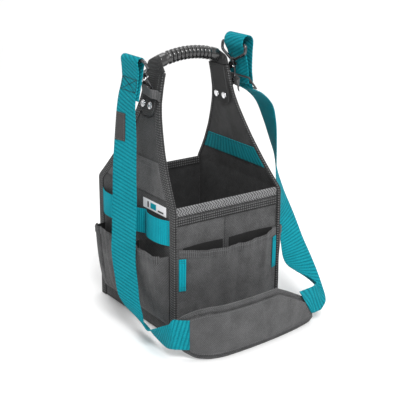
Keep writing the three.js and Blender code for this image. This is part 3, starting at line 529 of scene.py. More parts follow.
def stitch(points, normals, kind="grey", pitch=3.6, length=2.5, radius=0.34):
    """A run of stitches along a line that lies on a surface."""
    points = np.asarray(points, float)
    normals = np.broadcast_to(normals, points.shape)
    along = run_of(points)
    count = max(int(along[-1] / pitch), 1)
    at = (np.arange(count) + 0.5) * along[-1] / count

    def at_lengths(values, where):
        return np.stack([np.interp(where, along, values[:, k]) for k in range(3)], -1)

    starts, ends = at_lengths(points, at - length / 2), at_lengths(points, at + length / 2)
    ring = 5
    angle = np.arange(ring) * 2 * math.pi / ring
    for p, q, m in zip(starts, ends, unit(at_lengths(normals, at))):
        axis = unit(q - p)
        side = unit(np.cross(axis, m))
        rows = []
        for share, r in ((0, 0.45), (0.25, 1), (0.75, 1), (1, 0.45)):
            centre = p + (q - p) * share + m * (0.22 if 0 < share < 1 else 0)
            rows.append(centre + radius * r * (np.cos(angle)[:, None] * side + np.sin(angle)[:, None] * m))
        rows = np.concatenate(rows)
        STITCHES[kind].append((rows, skin(4, ring), rows[:, :2]))


def normals_of(surface, s, t, e):
    """Unit normals of a surface at two shares, from its slope over a small step."""
    ds = surface(np.clip(s + e, 0, 1), t) - surface(np.clip(s - e, 0, 1), t)
    dt = surface(s, np.clip(t + e, 0, 1)) - surface(s, np.clip(t - e, 0, 1))
    return unit(np.cross(ds, dt))


def stitch_on(surface, s, t, hint, half, kind="grey", **more):
    """Stitches along a path of a surface's own two shares, on its outer face."""
    s, t = np.broadcast_arrays(np.asarray(s, float), np.asarray(t, float))
    n = normals_of(surface, s, t, 1e-3)
    flip = np.sign((n * hint).sum(-1, keepdims=True))
    n = n * np.where(flip == 0, 1, flip)
    stitch(surface(s, t) + n * half, n, kind, **more)


# End walls, base, front and back walls, and the tapes over their edges

BINDING_WIDTH, TAPE, RIM_STITCH, BASE_TOP = 13, 1.2, 10.8, 4.3


def binding_grid(side, edge):
    z = np.concatenate([lin(0, RIM - 12, 40), lin(RIM - 10, RIM + 14, 18), lin(RIM + 17, NECK_TOP - 1.6, 56)])
    slant = np.minimum(np.hypot(1, (end_half(z - 4) - end_half(z + 4)) / 8), 1.35)
    half = end_half(z)
    inner = half - BINDING_WIDTH * slant
    section = [
        (inner, 0.9), (inner + 0.6, 0.9), (0.5 * (inner + half), 0.98), (half - 1.2, 0.9), (half - 0.2, 0.88),
        (half + 0.6, 0.6), (half + 0.9, -0.2), (half + 0.9, -2.2), (half + 0.6, -3.0), (half - 0.2, -3.3),
        (half - 3.5 * slant, -3.3),
    ]
    return np.stack([on_end(side, edge * u, z, out) for u, out in section], 1), z, inner


for word, side in SIDES:
    def wall(s, t):
        return on_end(side, (2 * s - 1) * end_half(NECK_TOP * t), NECK_TOP * t, -PANEL / 2)

    sheet(f"end_wall_{word}", wall, 31, 105, PANEL, "fabric", (side, 0, 0), [f"end_panel_{word}"],
          inner="inside")
    for edge, place in ((-1, "front"), (1, "back")):
        grid, z, inner = binding_grid(side, edge)
        shell(f"bound_edge_{word}_{place}", grid, TAPE, "binding", (side, 0, 0),
              [f"edge_binding_{word}_{place}"], turn=True)
        stitch(on_end(side, edge * (inner + 2.0), z, 1.55), unit(np.array([side, 0, LEAN])), pitch=4.2,
               radius=0.3)

floor_x, floor_y = np.meshgrid(lin(-INNER_HALF, INNER_HALF, 24), lin(-DEPTH_HALF, DEPTH_HALF, 24))
shell("base", np.stack([floor_x, floor_y, np.full((24, 24), 2.0)], -1), 4.0, "fabric", (0, 0, -1),
      ["base_panel"], inner="lining")

# Height above the rim and distance outwards, round the rim tape
RIM_SECTION = (
    (-12.4, 0.9), (-7, 1.0), (-0.8, 0.9), (0.3, 0.62), (0.9, -0.2), (0.9, -2.2), (0.3, -3.02), (-0.8, -3.3),
    (-7, -3.4), (-12.4, -3.3),
)
for word, front in (("front", -1), ("back", 1)):
    def wall(s, t):
        return on_face(front, (2 * s - 1) * INNER_HALF, BASE_TOP + (RIM - BASE_TOP) * t, -PANEL / 2)

    sheet(f"{word}_wall", wall, 31, 31, PANEL, "fabric", (0, front, 0), [f"{word}_panel"], inner="inside")
    along = lin(-TRIM_HALF, TRIM_HALF, 61)
    rim = np.stack([on_face(front, along, RIM + up, out) for up, out in RIM_SECTION], 0)
    shell(f"{word}_rim", rim, TAPE, "rim" if front < 0 else "binding", (0, front, 0), [f"rim_tape_{word}"],
          slot="rim_tape")
    along = lin(2 - TRIM_HALF, TRIM_HALF - 2, 80)
    stitch(on_face(front, along, RIM - RIM_STITCH, 1.55), (0, front, 0), "dark", 3.8)

# Flat upper front pocket with a tape along its mouth and a seam down it

UPPER_TOP, SEAM_LOW, POCKET_THICK = RIM - 14.5, 20, 1.4


def front_strip(low, high, out):
    """A flat strip across the front pockets, between two heights."""
    return lambda s, t: on_face(-1, (2 * s - 1) * POCKET_HALF, low + (high - low) * t, out)


def upper_seam(s, t):
    return on_face(-1, -4 + (s - 0.5) * 3.0, 24 + (UPPER_TOP - 40) * t, 1.95 + 0.5 * np.sin(np.pi * s))


sheet("upper_pocket", front_strip(SEAM_LOW, UPPER_TOP, 1.0), 41, 41, POCKET_THICK, "pocket", FRONT,
      ["front_pocket_upper"])
sheet("upper_pocket_tape", front_strip(UPPER_TOP - 11, UPPER_TOP, 2.6), 61, 5, TAPE, "binding", FRONT,
      ["front_pocket_tape"])
# A thin dark strip just under the tape: painted shadow of the pocket's mouth.
sheet("upper_pocket_mouth_shadow", front_strip(UPPER_TOP - 13.6, UPPER_TOP - 11.3, 2.35), 41, 4, 0.9, "ink", FRONT,
      slot="binding")
for below in (9.4, 1.7):
    stitch(on_face(-1, lin(-98, 98, 80), UPPER_TOP - below, 3.25), FRONT)
for x in (-6.2, -1.8):
    stitch(on_face(-1, x, lin(22, UPPER_TOP - 15, 60), 1.75), FRONT, "dark", pitch=3.4)
sheet("upper_pocket_seam", upper_seam, 7, 40, 0.6, "pocket", FRONT)

# Lower front pocket: two soft lobes, a stitched hem, tabs at its ends

LOWER_MOUTH, LOWER_SAG, LOWER_OUT, LOWER_BACK = 154, 5, 22, 2.7
TAB_MIDDLE, TAB_WIDTH, TAB_LOW, TAB_HEIGHT = 92.9, 11, 85, 55
# Share across, share of the distance outwards, share of the sag
LOBES = np.array([
    (0, 0, 0), (0.03, 0.1, 0.05), (0.1, 0.42, 0.3), (0.2, 0.74, 0.62), (0.3, 0.92, 0.85), (0.4, 1, 1),
    (0.5, 0.97, 1), (0.6, 1, 0.93), (0.7, 0.94, 0.78), (0.8, 0.8, 0.58), (0.9, 0.48, 0.3), (0.97, 0.12, 0.06),
    (1, 0, 0),
]).T
# Share up, share of the distance outwards
RISE = np.array([(0, 0), (0.08, 0.3), (0.25, 0.58), (0.5, 0.8), (0.75, 0.93), (1, 1)]).T


def lower_pocket(s, t):
    z = SEAM_LOW + (LOWER_MOUTH - LOWER_SAG * pchip(LOBES[0], LOBES[2], s) - SEAM_LOW) * t
    free = np.clip((0.5 - np.abs(s - 0.5)) / 0.14, 0, 1)
    fold = 1.3 * np.sin(s * 31 + 1.4 * t) * free * (0.15 + 0.85 * t)
    fold = fold + 0.6 * np.sin(s * 73 - 3 * t) * free * t**2
    fold = fold - 2.0 * np.exp(-((s - 0.52 - 0.03 * t) / 0.018) ** 2) * (0.4 + 0.6 * t)
    fold = fold + 1.8 * np.exp(-((s - 0.13) / 0.08) ** 2 - (t / 0.22) ** 2) * np.sin(s * 70 - t * 26)
    out = LOWER_BACK + LOWER_OUT * pchip(LOBES[0], LOBES[1], s) * pchip(*RISE, t)
    return on_face(-1, (2 * s - 1) * POCKET_HALF, z, out + fold)


def lifted(surface, hint, by):
    """The same surface, moved outwards by a length."""
    def moved(s, t):
        s, t = np.broadcast_arrays(np.asarray(s, float), np.asarray(t, float))
        n = normals_of(surface, s, t, 2e-3)
        return surface(s, t) + np.sign((n * hint).sum()) * n * by
    return moved


def hem(name, surface, hint, s, depth):
    """A hem folded over a pocket's mouth: outer leaf, fold and inner leaf."""
    half = 1.15
    outer, inside = lifted(surface, hint, half), lifted(surface, hint, -half)
    rows = [outer(s, np.full_like(s, 1 - d)) for d in (depth, depth * 0.66, depth * 0.33, 0.01)]
    rows.append(surface(s, np.ones_like(s)) + UP * half)
    rows += [inside(s, np.full_like(s, 1 - d)) for d in (0.01, depth * 0.4, depth * 0.8)]
    shell(name, np.stack(rows, 0), 0.9, "hem", hint, bevel=0.25)


def front_tab(direction):
    def surface(s, t):
        u = direction * TAB_MIDDLE + (s - 0.5) * TAB_WIDTH
        z = TAB_LOW + TAB_HEIGHT * t
        lift = np.interp((z - SEAM_LOW) / (LOWER_MOUTH - SEAM_LOW), *RISE)
        lobe = np.interp((u + POCKET_HALF) / (2 * POCKET_HALF), LOBES[0], LOBES[1])
        return on_face(-1, u, z, LOWER_BACK + LOWER_OUT * lobe * lift + POCKET_THICK + TAPE)
    return surface


sheet("lower_pocket", lower_pocket, 121, lin(0, 0.99, 56), POCKET_THICK, "pocket", FRONT,
      ["front_pocket_lower"], inner="lining")
hem("lower_pocket_hem", lower_pocket, FRONT, lin(0.008, 0.992, 101), 0.085)
for depth in (0.018, 0.07):
    stitch_on(lower_pocket, lin(0.02, 0.98, 160), 1 - depth, FRONT, 1.65, pitch=3.4, radius=0.3)
for s0 in (0.014, 0.986):
    stitch_on(lower_pocket, s0, lin(0.03, 0.9, 60), FRONT, 0.75)
stitch_on(lower_pocket, lin(0.02, 0.98, 120), 0.02, FRONT, 0.75, "dark")

# Dark sheets behind the lower pocket's mouth, on both sides of the seam: painted shade inside the pocket's
# opening.
for word, first, last in (("left", -88, -10), ("right", 2, 92)):
    def behind(s, t):
        return on_face(-1, first + (last - first) * s, 60 + (97 - 1.5 * (2 * s - 1) ** 2) * t, 2.45)

    sheet(f"lower_pocket_mouth_shade_{word}", behind, 21, 9, 0.5, "lining", FRONT, bevel=0.1)
for word, side in SIDES:
    tab = front_tab(side)
    sheet(f"tab_{word}", tab, 9, 22, TAPE, "teal_flat", FRONT, [f"front_tab_{word}"])
    for t0 in (0.05, 0.12, 0.88, 0.95):
        stitch_on(tab, lin(0.08, 0.92, 8), t0, FRONT, 0.65, "teal", pitch=2.4, length=1.7)

# End pockets, tool loops, slip pockets, label and inner bands

SIDE_MOUTH, SIDE_OUT = 143, 24
LOOP_LOW, LOOP_WIDTH, LOOP_OUT, BAND_HALF = 160, 42, 9, 104.0
SLIP_LOW, SLIP_HEIGHT, SLIP_INSET = 231, 51, 17.85
BAND_LOW, BAND_WIDTH, BAND_INSET = 251, 31, 6.5
LABEL_LOW = 205
# Share across, share of the distance outwards
BELLOWS = np.array([
    (0, 0), (0.015, 0.45), (0.05, 0.84), (0.16, 0.98), (0.34, 1), (0.52, 0.95), (0.7, 1), (0.86, 0.97),
    (0.95, 0.84), (0.985, 0.45), (1, 0),
]).T
LOOPS = np.array([
    (0, 0), (0.05, 0.55), (0.1, 0.88), (0.17, 1), (0.24, 0.88), (0.29, 0.55), (0.335, 0), (0.385, 0.55),
    (0.43, 0.88), (0.5, 1), (0.57, 0.88), (0.62, 0.55), (0.665, 0), (0.715, 0.55), (0.76, 0.88), (0.83, 1),
    (0.9, 0.88), (0.95, 0.55), (1, 0),
]).T
dense_ends = np.unique(np.concatenate([lin(0, 0.06, 14), lin(0.06, 0.94, 60), lin(0.94, 1, 14)]))


def side_pocket(side, low, high, share, seed):
    def surface(s, t):
        middle = np.clip(np.minimum(s, 1 - s) / 0.1, 0, 1)
        wave = (1.4 * np.sin(s * 13 + seed) + 0.6 * np.sin(s * 34 - 2 * t)) * middle * (0.3 + 0.7 * t)
        crease = -3.0 * np.exp(-((s - 0.76 - 0.03 * np.sin(t * 4 + seed)) / 0.02) ** 2) * np.clip(t * 2, 0, 1)
        crease = crease - 1.6 * np.exp(-((s - 0.3 + 0.05 * t) / 0.03) ** 2 - ((t - 0.2) / 0.2) ** 2)
        z = SEAM_LOW + (SIDE_MOUTH * share - SEAM_LOW) * t
        out = 1.0 + SIDE_OUT * pchip(*BELLOWS, s) * pchip(*RISE, t) + wave + crease
        return on_end(side, FIN_HALF * (low + (high - low) * s), z, out)
    return surface


for word, side in SIDES:
    out_dir, in_dir = (side, 0, 0), (-side, 0, 0)
    for place, low, high, share, seed in (("front", -0.86, -0.1, 1, 0.4), ("back", 0.14, 0.86, 0.98, 2.1)):
        pocket = side_pocket(side, low, high, share, seed)
        sheet(f"end_pocket_{word}_{place}", pocket, dense_ends, lin(0, 0.99, 46), POCKET_THICK, "pocket",
              out_dir, [f"side_pocket_{word}_{place}"], inner="lining")
        hem(f"end_pocket_hem_{word}_{place}", pocket, out_dir, lin(0.03, 0.97, 71), 0.09)
        for depth in (0.02, 0.075):
            stitch_on(pocket, lin(0.06, 0.94, 100), 1 - depth, out_dir, 1.65, pitch=3.4, radius=0.3)
        stitch_on(pocket, lin(0.04, 0.96, 60), 0.025, out_dir, 0.75, "dark")

    def loops(s, t):
        out = 1.0 + LOOP_OUT * pchip(*LOOPS, s)
        return on_end(side, (2 * s - 1) * BAND_HALF, LOOP_LOW + LOOP_WIDTH * t, out)

    def slip(s, t):
        z = SLIP_LOW + SLIP_HEIGHT * t
        share = 2 * s - 1
        return on_end(side, share * (end_half(z) - SLIP_INSET), z, 1.0 + (1 - np.abs(share)) * 2 * t)

    def band(s, t):
        z = BAND_LOW + BAND_WIDTH * t
        return on_end(side, (2 * s - 1) * (end_half(z) - BAND_INSET), z, -3.4)

    sheet(f"tool_loops_{word}", loops, 181, 9, 1.4, "teal_flat", out_dir, [f"loop_band_{word}"])
    for at in (0.012, 0.328, 0.342, 0.658, 0.672, 0.988):
        stitch_on(loops, at, lin(0.04, 0.96, 20), out_dir, 0.75, "teal", pitch=2.8, length=2.0)
    sheet(f"flat_pocket_{word}", slip, 41, 21, POCKET_THICK, "pocket", out_dir, [f"slip_pocket_{word}"])
    for t0 in (0.93, 0.8):
        stitch_on(slip, lin(0.03, 0.97, 60), t0, out_dir, 0.75)
    for s0 in (0.02, 0.98):
        stitch_on(slip, s0, lin(0.04, 0.96, 30), out_dir, 0.75)
    sheet(f"inside_band_{word}", band, 41, 9, 1.4, "teal_ribs", in_dir, [f"inner_band_{word}"])
    for t0 in (0.06, 0.94):
        stitch_on(band, lin(0.03, 0.97, 60), t0, in_dir, 0.75, "teal")


def label(s, t):
    return on_end(-1, FIN_HALF * (-0.8 + 0.57 * s), LABEL_LOW + (RIM - GAP - LABEL_LOW) * t, 0.9)


sheet("label", label, 25, 9, TAPE, "label", LEFT, ["side_label"])
for word, s0, s1, t1, mat in (
    ("teal", 0.42, 0.66, 0.8, "teal_flat"), ("dark", 0.1, 0.34, 0.36, "ink"), ("edge", 0.74, 0.8, 0.8, "ink"),
):
    def block(s, t):
        return label(s0 + (s1 - s0) * s, 0.2 + (t1 - 0.2) * t) - (0.75, 0, 0)

    sheet(f"label_block_{word}", block, 9, 5, 0.24, mat, LEFT, slot="label", bevel=0.05)

# Neck: webbing that runs up into the grip, a patch inside, rivets through both

# Share of the webbing's length from its rounded end, share of its half width
TONGUE = np.array([(0, 0.42), (0.04, 0.7), (0.12, 0.93), (0.24, 1), (1, 1)])
GRIP_END, GRIP_HEIGHT, GRIP_RISE, GRIP_RADIUS = 58.0, 432.0, 10.0, 11.0
WEB_LOW, WEB_HEIGHT, RIVET_Z = 348.0, 70.0, 364


def tongue_half(share, z):
    return np.minimum(23 * pchip(TONGUE[:, 0], TONGUE[:, 1], share), end_half(z) + 1.2)


def neck_sections(side):
    """Centre, half width and half depth of the webbing from its rounded end to the grip."""
    rows = []
    out = 2.6
    for share in (0, 0.02, 0.04, 0.08, 0.12, 0.18, 0.24, 0.4, 0.6, 0.8, 1):
        z = WEB_LOW + WEB_HEIGHT * share
        x = float(end_x(z)) + out
        rows.append((x, z, float(tongue_half(share, z)), 0.8, 0.0))
    inner_x, outer_x = float(end_x(NECK_TOP)) - 5.8, float(end_x(NECK_TOP)) + 3.4
    mix = lambda a, b, t: a + (b - a) * t
    fold = [
        (inner_x, NECK_TOP + 1.13, outer_x, NECK_TOP + 4, 23 * 1.0),
        (mix(inner_x, GRIP_END, 0.5), NECK_TOP + 1.5, mix(GRIP_END, outer_x, 0.72), NECK_TOP + 15, 23 * 0.92),
        (GRIP_END + 0.3, GRIP_HEIGHT - 9, GRIP_END + 0.3, GRIP_HEIGHT + 9, 23 * 0.44),
    ]
    for lx, lz, tx, tz, w in fold:
        rows.append(((lx + tx) / 2, (lz + tz) / 2, w, (tx - lx) / 2, (tz - lz) / 2))
    rows = np.array(rows)
    at = np.concatenate([[0], np.cumsum(np.hypot(np.diff(rows[:, 0]), np.diff(rows[:, 1])) + 0.5)])
    fine = np.unique(np.concatenate([lin(0, at[-4], 40), lin(at[-4], at[-1], 26)]))
    rows = pchip(at, rows, fine)
    angle = (np.arange(28) + 0.5) * 2 * math.pi / 28
    ease = lambda v: np.sign(v) * np.abs(v) ** 0.3
    sections = []
    for x, z, w, dx, dz in rows:
        c, s = ease(np.cos(angle)), ease(np.sin(angle))
        sections.append(np.stack([side * (x + dx * s), w * c, z + dz * s], -1))
    return sections


def lathe(axis_from, axis, profile, sides=32):
    axis = unit(np.asarray(axis, float))
    a = unit(np.cross(axis, (0, 1, 0)))
    b = np.cross(axis, a)
    angle = np.arange(sides) * 2 * math.pi / sides
    ring = np.cos(angle)[:, None] * a + np.sin(angle)[:, None] * b
    return [np.asarray(axis_from, float) + axis * h + r * ring for r, h in profile]


for word, side in SIDES:
    tube(f"neck_web_{word}", neck_sections(side), "webbing", replaces=[f"neck_webbing_{word}"], angle=60)

    def patch(s, t):
        z = WEB_LOW + 69.7 * t
        return on_end(side, (2 * s - 1) * tongue_half(t, z), z, -PANEL - 2.6)

    def web_face(s, t):
        z = WEB_LOW + WEB_HEIGHT * t
        return on_end(side, (2 * s - 1) * tongue_half(t, z), z, 2.6)

    sheet(f"neck_inside_{word}", patch, 15, np.concatenate([lin(0, 0.24, 16), lin(0.3, 1, 16)]), 1.6,
          "webbing", (-side, 0, 0), [f"neck_patch_{word}"])
    for inset in (0.09, 0.91):
        stitch_on(web_face, inset, lin(0.06, 0.97, 40), (side, 0, 0), 0.85, pitch=3.4)
        stitch_on(patch, inset, lin(0.06, 0.97, 40), (-side, 0, 0), 0.85, pitch=3.4)
    axis = (side * math.cos(LEAN_ANGLE), 0, math.sin(LEAN_ANGLE))
    for i, y in enumerate((-6.5, 14.5)):
        centre = (side * float(end_x(RIVET_Z)), y, RIVET_Z)
        top, low = 3.7 * math.cos(LEAN_ANGLE), -(PANEL + 3.7) * math.cos(LEAN_ANGLE)
        profile = [
            (0.01, low - 1.5), (4.2, low - 1.5), (5.2, low - 1.2), (5.8, low - 0.6), (6, low), (2.4, low),
            (2.4, top), (6, top), (5.9, top + 0.6), (5.3, top + 1.15), (4.3, top + 1.5), (3.1, top + 1.5),
            (2.3, top + 1.1), (1.6, top + 0.55), (0.8, top + 0.4), (0.01, top + 0.38),
        ]
        tube(f"rivet_{word}_head_{i + 1}", lathe(centre, axis, profile), "rivet",
             replaces=[f"rivet_{word}_{i + 1}"], angle=40)


def grip_radius(at):
    """Share of the grip's radius along it: collars at the ends, round rings between."""
    ends = np.minimum(at, 1 - at)
    collar = np.where(ends < 0.015, 0.86 + 0.14 * np.sqrt(np.clip(ends / 0.015, 0, 1)), 1.0)
    collar = np.where(ends > 0.1, 1.0 - 0.1 * np.clip((ends - 0.1) / 0.03, 0, 1), collar)
    phase = (at - 0.14) / (0.72 / 11)
    ring = 0.79 + 0.24 * np.sqrt(np.clip(np.sin(np.pi * (phase % 1)), 0, 1))
    return np.where((at > 0.14) & (at < 0.86), ring, collar)


grip_at = np.unique(np.concatenate([
    lin(0, 0.02, 8), lin(0.02, 0.14, 14), lin(0.14, 0.86, 11 * 14 + 1), lin(0.86, 0.98, 14), lin(0.98, 1, 8)]))
grip_ring = np.arange(32) * 2 * math.pi / 32
grip_sections = []
for at, r in zip(grip_at, grip_radius(grip_at)):
    x = -GRIP_END + 2 * GRIP_END * at
    z = GRIP_HEIGHT + GRIP_RISE * (1 - (x / GRIP_END) ** 2)
    lean = math.atan(-2 * GRIP_RISE * x / GRIP_END**2)
    r = r * GRIP_RADIUS
    across, up = r * np.sin(grip_ring), r * np.cos(grip_ring)
    grip_sections.append(np.stack([x - up * math.sin(lean) * 0.6, across, z + up], -1))
tube("grip", grip_sections, "grip", replaces=["handle_grip"], angle=60)

# Hooks. In a hook's own frame X runs across its ring, Y through it and Z up from the ring's lowest point.

HOOKS = {
    "left": dict(side=-1, y=-8.0, z=391.0, tilt=-30.0, shift=3.2, over=6.5, band=20.3),
    "right": dict(side=1, y=-16.0, z=390.0, tilt=4.0, shift=-3.0, over=11.0, band=16.5),
}
WIRE, RING_W, RING_H = 2.1, 9.5, 11.0
BOSS_HIGH, EYE_HEIGHT, EYE_WIRE = 30.5, 62.0, 2.6
PIVOT = (5.1, 24.5)
# Angle round the ring at which its open end stops
TIP = -0.62
# From the end wall out to the middle of the webbing behind a hook
HOOK_FACE = 1.5 + GAP + 1.6 + GAP + 0.6


def hook_matrix(hook):
    place = Matrix.Translation((hook["side"] * (float(end_x(hook["z"])) + 8.2), hook["y"], hook["z"]))
    return place @ Matrix.Rotation(math.radians(hook["tilt"]), 4, "Y") @ Matrix.Rotation(-math.pi / 2, 4, "Z")


def to_world(points, matrix):
    m = np.array(matrix)
    return np.asarray(points) @ m[:3, :3].T + m[:3, 3]


def sweep(path, radius, sides=16, closed=False):
    """Rings of a round wire along a path in the XZ plane."""
    path = np.asarray(path, float)
    if closed:
        along = unit(np.roll(path, -1, 0) - np.roll(path, 1, 0))
    else:
        along = unit(np.gradient(path, axis=0))
    across = np.array([0.0, 1, 0])
    outward = unit(np.cross(along, across))
    angle = np.arange(sides) * 2 * math.pi / sides
    radius = np.broadcast_to(radius, (len(path),))
    return np.stack([p + r * (np.cos(angle)[:, None] * o + np.sin(angle)[:, None] * across)
                     for p, o, r in zip(path, outward, radius)])


def rounded_path(corners, radius, steps=7):
    """A closed path through corners, each cut off by a soft bend."""
    corners = np.asarray(corners, float)
    path = []
    for i, c in enumerate(corners):
        before, after = corners[i - 1], corners[(i + 1) % len(corners)]
        reach = min(radius, np.linalg.norm(before - c) * 0.45, np.linalg.norm(after - c) * 0.45)
        a, b = c + unit(before - c) * reach, c + unit(after - c) * reach
        for t in lin(0, 1, steps):
            path.append((1 - t) ** 2 * a + 2 * t * (1 - t) * c + t**2 * b)
    return np.array(path)


def flat3(pairs):
    pairs = np.asarray(pairs, float)
    return np.stack([pairs[:, 0], np.zeros(len(pairs)), pairs[:, 1]], -1)


def box_rings(centre, size, count=24):
    """Rings of a soft-edged block along Z."""
    cx, cy, cz = centre
    sx, sy, sz = (v / 2 for v in size)
    angle = (np.arange(count) + 0.5) * 2 * math.pi / count
    ease = lambda v: np.sign(v) * np.abs(v) ** 0.35
    rings = []
    for h, r in ((-1, 0.84), (-0.94, 0.94), (-0.8, 1), (0.8, 1), (0.94, 0.94), (1, 0.84)):
        rings.append(np.stack([cx + sx * r * ease(np.cos(angle)), cy + sy * r * ease(np.sin(angle)),
                               np.full(count, cz + sz * h)], -1))
    return rings


for word, side in SIDES:
    hook = HOOKS[word]
    matrix = hook_matrix(hook)
    angle = lin(math.pi * 0.5, 2 * math.pi + TIP, 46)
    ring = np.stack([RING_W * np.cos(angle), 0 * angle, RING_H + RING_H * np.sin(angle)], -1)
    radius = np.full(46, WIRE)
    radius[-3:] = WIRE * np.array([0.97, 0.85, 0.5])
    tube(f"hook_ring_{word}", to_world(sweep(ring, radius), matrix), "metal", replaces=[f"snap_hook_{word}"])
    for i, y in enumerate((-3.1, 3.1)):
        cheek = box_rings((0, y, 26), (13, 2.2, 9))
        tube(f"hook_cheek_{word}_{i + 1}", to_world(cheek, matrix), "metal", angle=30)
    tube(f"hook_neck_{word}", to_world(box_rings((-2.2, 0, 25.8), (8.0, 4.6, 8.6)), matrix), "metal", angle=30)
    pin = [(0.01, -4.6), (1.7, -4.6), (1.9, -4.3), (1.9, 4.3), (1.7, 4.6), (0.01, 4.6)]
    pin_from = to_world([(PIVOT[0], 0, PIVOT[1])], matrix)[0]
    pin_axis = np.array(matrix)[:3, :3] @ np.array([0, 1, 0])
    tube(f"hook_pin_{word}",
         lathe(pin_from, pin_axis, [(r * 0.9 if abs(h) > 4.2 else 1.0, h) for r, h in pin], 20), "rivet",
         slot="metal", angle=40)
    tip = np.array([RING_W * math.cos(TIP), RING_H + RING_H * math.sin(TIP)])
    foot = tip + (-0.3, 1.4)
    start = np.array(PIVOT)
    middle = start * 0.5 + foot * 0.5 + (1.1, 0)
    t = lin(0, 1, 16)[:, None]
    lever = (1 - t) ** 2 * start + 2 * t * (1 - t) * (2 * middle - (start + foot) / 2) + t**2 * foot
    radius = np.interp(lin(0, 1, 16), (0, 0.1, 0.8, 0.95, 1), (2.2, 1.7, 1.7, 1.5, 0.8)) * 0.98
    hub = lathe((PIVOT[0], 0, PIVOT[1]), (0, 1, 0),
                [(1.3, -1.6), (2.2, -1.6), (2.3, -1.4), (2.3, 1.4), (2.2, 1.6), (1.3, 1.6)], 24)
    tube(f"hook_lever_{word}", to_world(sweep(flat3(lever), radius, 14), matrix), "metal",
         replaces=[f"hook_gate_{word}"], body=f"gate_{word}")
    tube(f"hook_hub_{word}", to_world(hub, matrix), "metal", closed=True, body=f"gate_{word}", angle=40)
    half = 29 + EYE_WIRE
    low = BOSS_HIGH + GAP + 5
    corners = [(-half, EYE_HEIGHT), (half, EYE_HEIGHT), (half, EYE_HEIGHT - 14), (8, low + 0.4), (5, low),
               (-5, low), (-8, low + 0.4), (-half, EYE_HEIGHT - 14)]
    eye = rounded_path(flat3(corners), 5.0)
    tube(f"eye_{word}", to_world(sweep(eye, EYE_WIRE * 0.98, 16, True), matrix), "metal", closed=True,
         replaces=[f"hook_eye_{word}"])
    collar = [(0.01, 30.9), (4.0, 30.9), (4.3, 31.3), (4.1, 32.6), (3.5, 34.6), (3.3, 36.6), (2.9, 37.4),
              (0.01, 37.4)]
    tube(f"eye_collar_{word}", to_world(lathe((0, 0, 0), (0, 0, 1), collar, 24), matrix), "metal", angle=35)
    centre = np.array(matrix)[:3, 3]
    around = WIRE + 3.5 * GAP + 0.6
    tail = hook["z"] - 10
    face_x = lambda z: side * (float(end_x(z)) + HOOK_FACE)
    path = [(face_x(tail), tail), (face_x(hook["z"] - 3), hook["z"] - 3)]
    for s in lin(0, 1, 17):
        a = math.pi * (1 - s)
        path.append((centre[0] + side * around * math.cos(a), centre[2] + around * math.sin(a)))
    path += [(centre[0] + side * (around - 1), hook["z"] - 5), (face_x(tail) + side * 1.7, tail)]
    grid = np.array([[(x, hook["y"] + y, z) for y in (-3.2, -1, 1, 3.2)] for x, z in path])
    shell(f"hook_webbing_{word}", grid, 1.2, "webbing", (side, 0, 0.3), [f"hook_loop_{word}"])

# Grosgrain bands over the hooks' feet


def hook_band(hook):
    span, flat = RING_W + WIRE + 2.2, HOOK_FACE
    y, far = hook["y"], hook["band"]
    tail = min(y - span, -23.0)
    rows = np.array([
        (23.0, flat, 0), (y + span + 5, flat + 1, 1), (y + span, far - 1, 2), (y + span * 0.5, far, 3),
        (y - span * 0.5, far, 6), (y - span, far - 1, 8), (tail - 4, flat + 2, 12), (tail - 9, flat, 16),
    ])
    at = run_of(rows[:, :2])

    def surface(s, t):
        row = pchip(at, rows, s * at[-1])
        yy, out, drop = row[..., 0], row[..., 1], row[..., 2]
        ease = np.clip((out - flat - 1) / 4, 0, 1)
        flare = 1 - (1 - (0.72 + 0.28 * t)) * ease
        return on_end(hook["side"], yy, hook["z"] - 5 + 18 * t - drop * (0.7 + 0.3 * t), out * flare)
    return surface


for word, side in SIDES:
    band = hook_band(HOOKS[word])
    sheet(f"hook_cover_{word}", band, 71, 11, 1.2, "tab", (side, 0, 0), [f"hook_band_{word}"])
    for t0 in (0.1, 0.9):
        stitch_on(band, lin(0.02, 0.98, 60), t0, (side, 0, 0), 0.65, pitch=3.2, radius=0.28)

# Straps: rows of points across the webbing, through stations that each have a place and the width's direction


def catmull(points, shares):
    """Centripetal curve through points, the same number of shares to each piece."""
    pts = np.asarray(points, float)
    ext = np.concatenate([[2 * pts[0] - pts[1]], pts, [2 * pts[-1] - pts[-2]]])
    result = []
    for share in shares:
        p = share * (len(pts) - 1)
        i = min(int(p), len(pts) - 2)
        t = p - i
        x0, x1, x2, x3 = ext[i:i + 4]
        d0, d1, d2 = (np.linalg.norm(b - a) ** 0.5 for a, b in ((x0, x1), (x1, x2), (x2, x3)))
        if d1 < 1e-4:
            d1 = 1.0
        if d0 < 1e-4:
            d0 = d1
        if d2 < 1e-4:
            d2 = d1
        t1 = ((x1 - x0) / d0 - (x2 - x0) / (d0 + d1) + (x2 - x1) / d1) * d1
        t2 = ((x2 - x1) / d1 - (x3 - x1) / (d1 + d2) + (x3 - x2) / d2) * d1
        bend, twist = -3 * x1 + 3 * x2 - 2 * t1 - t2, 2 * x1 - 2 * x2 + t1 + t2
        result.append(x1 + t1 * t + bend * t**2 + twist * t**3)
    return np.array(result)


PAD_LOW, PAD_LENGTH, PAD_HEIGHT, PAD_THICK = -138.0, 264.0, 88.0, 9.0
PAD_HIGH = PAD_LOW + PAD_LENGTH
SLEEVE_START = PAD_LOW + 17
STRAP_LIFT = PAD_HEIGHT / 2
PAD_Y = -206.5
DOWN_Y = np.array([0.0, -1, 0])


def pad_middle(x):
    x = np.asarray(x, float)
    left = PAD_Y + 38 * (np.maximum(-60 - x, 0) / 78) ** 2.2
    right = PAD_Y + 21 * (np.maximum(x + 60, 0) / (PAD_HIGH + 60)) ** 2
    return np.where(x < -60, left, right)


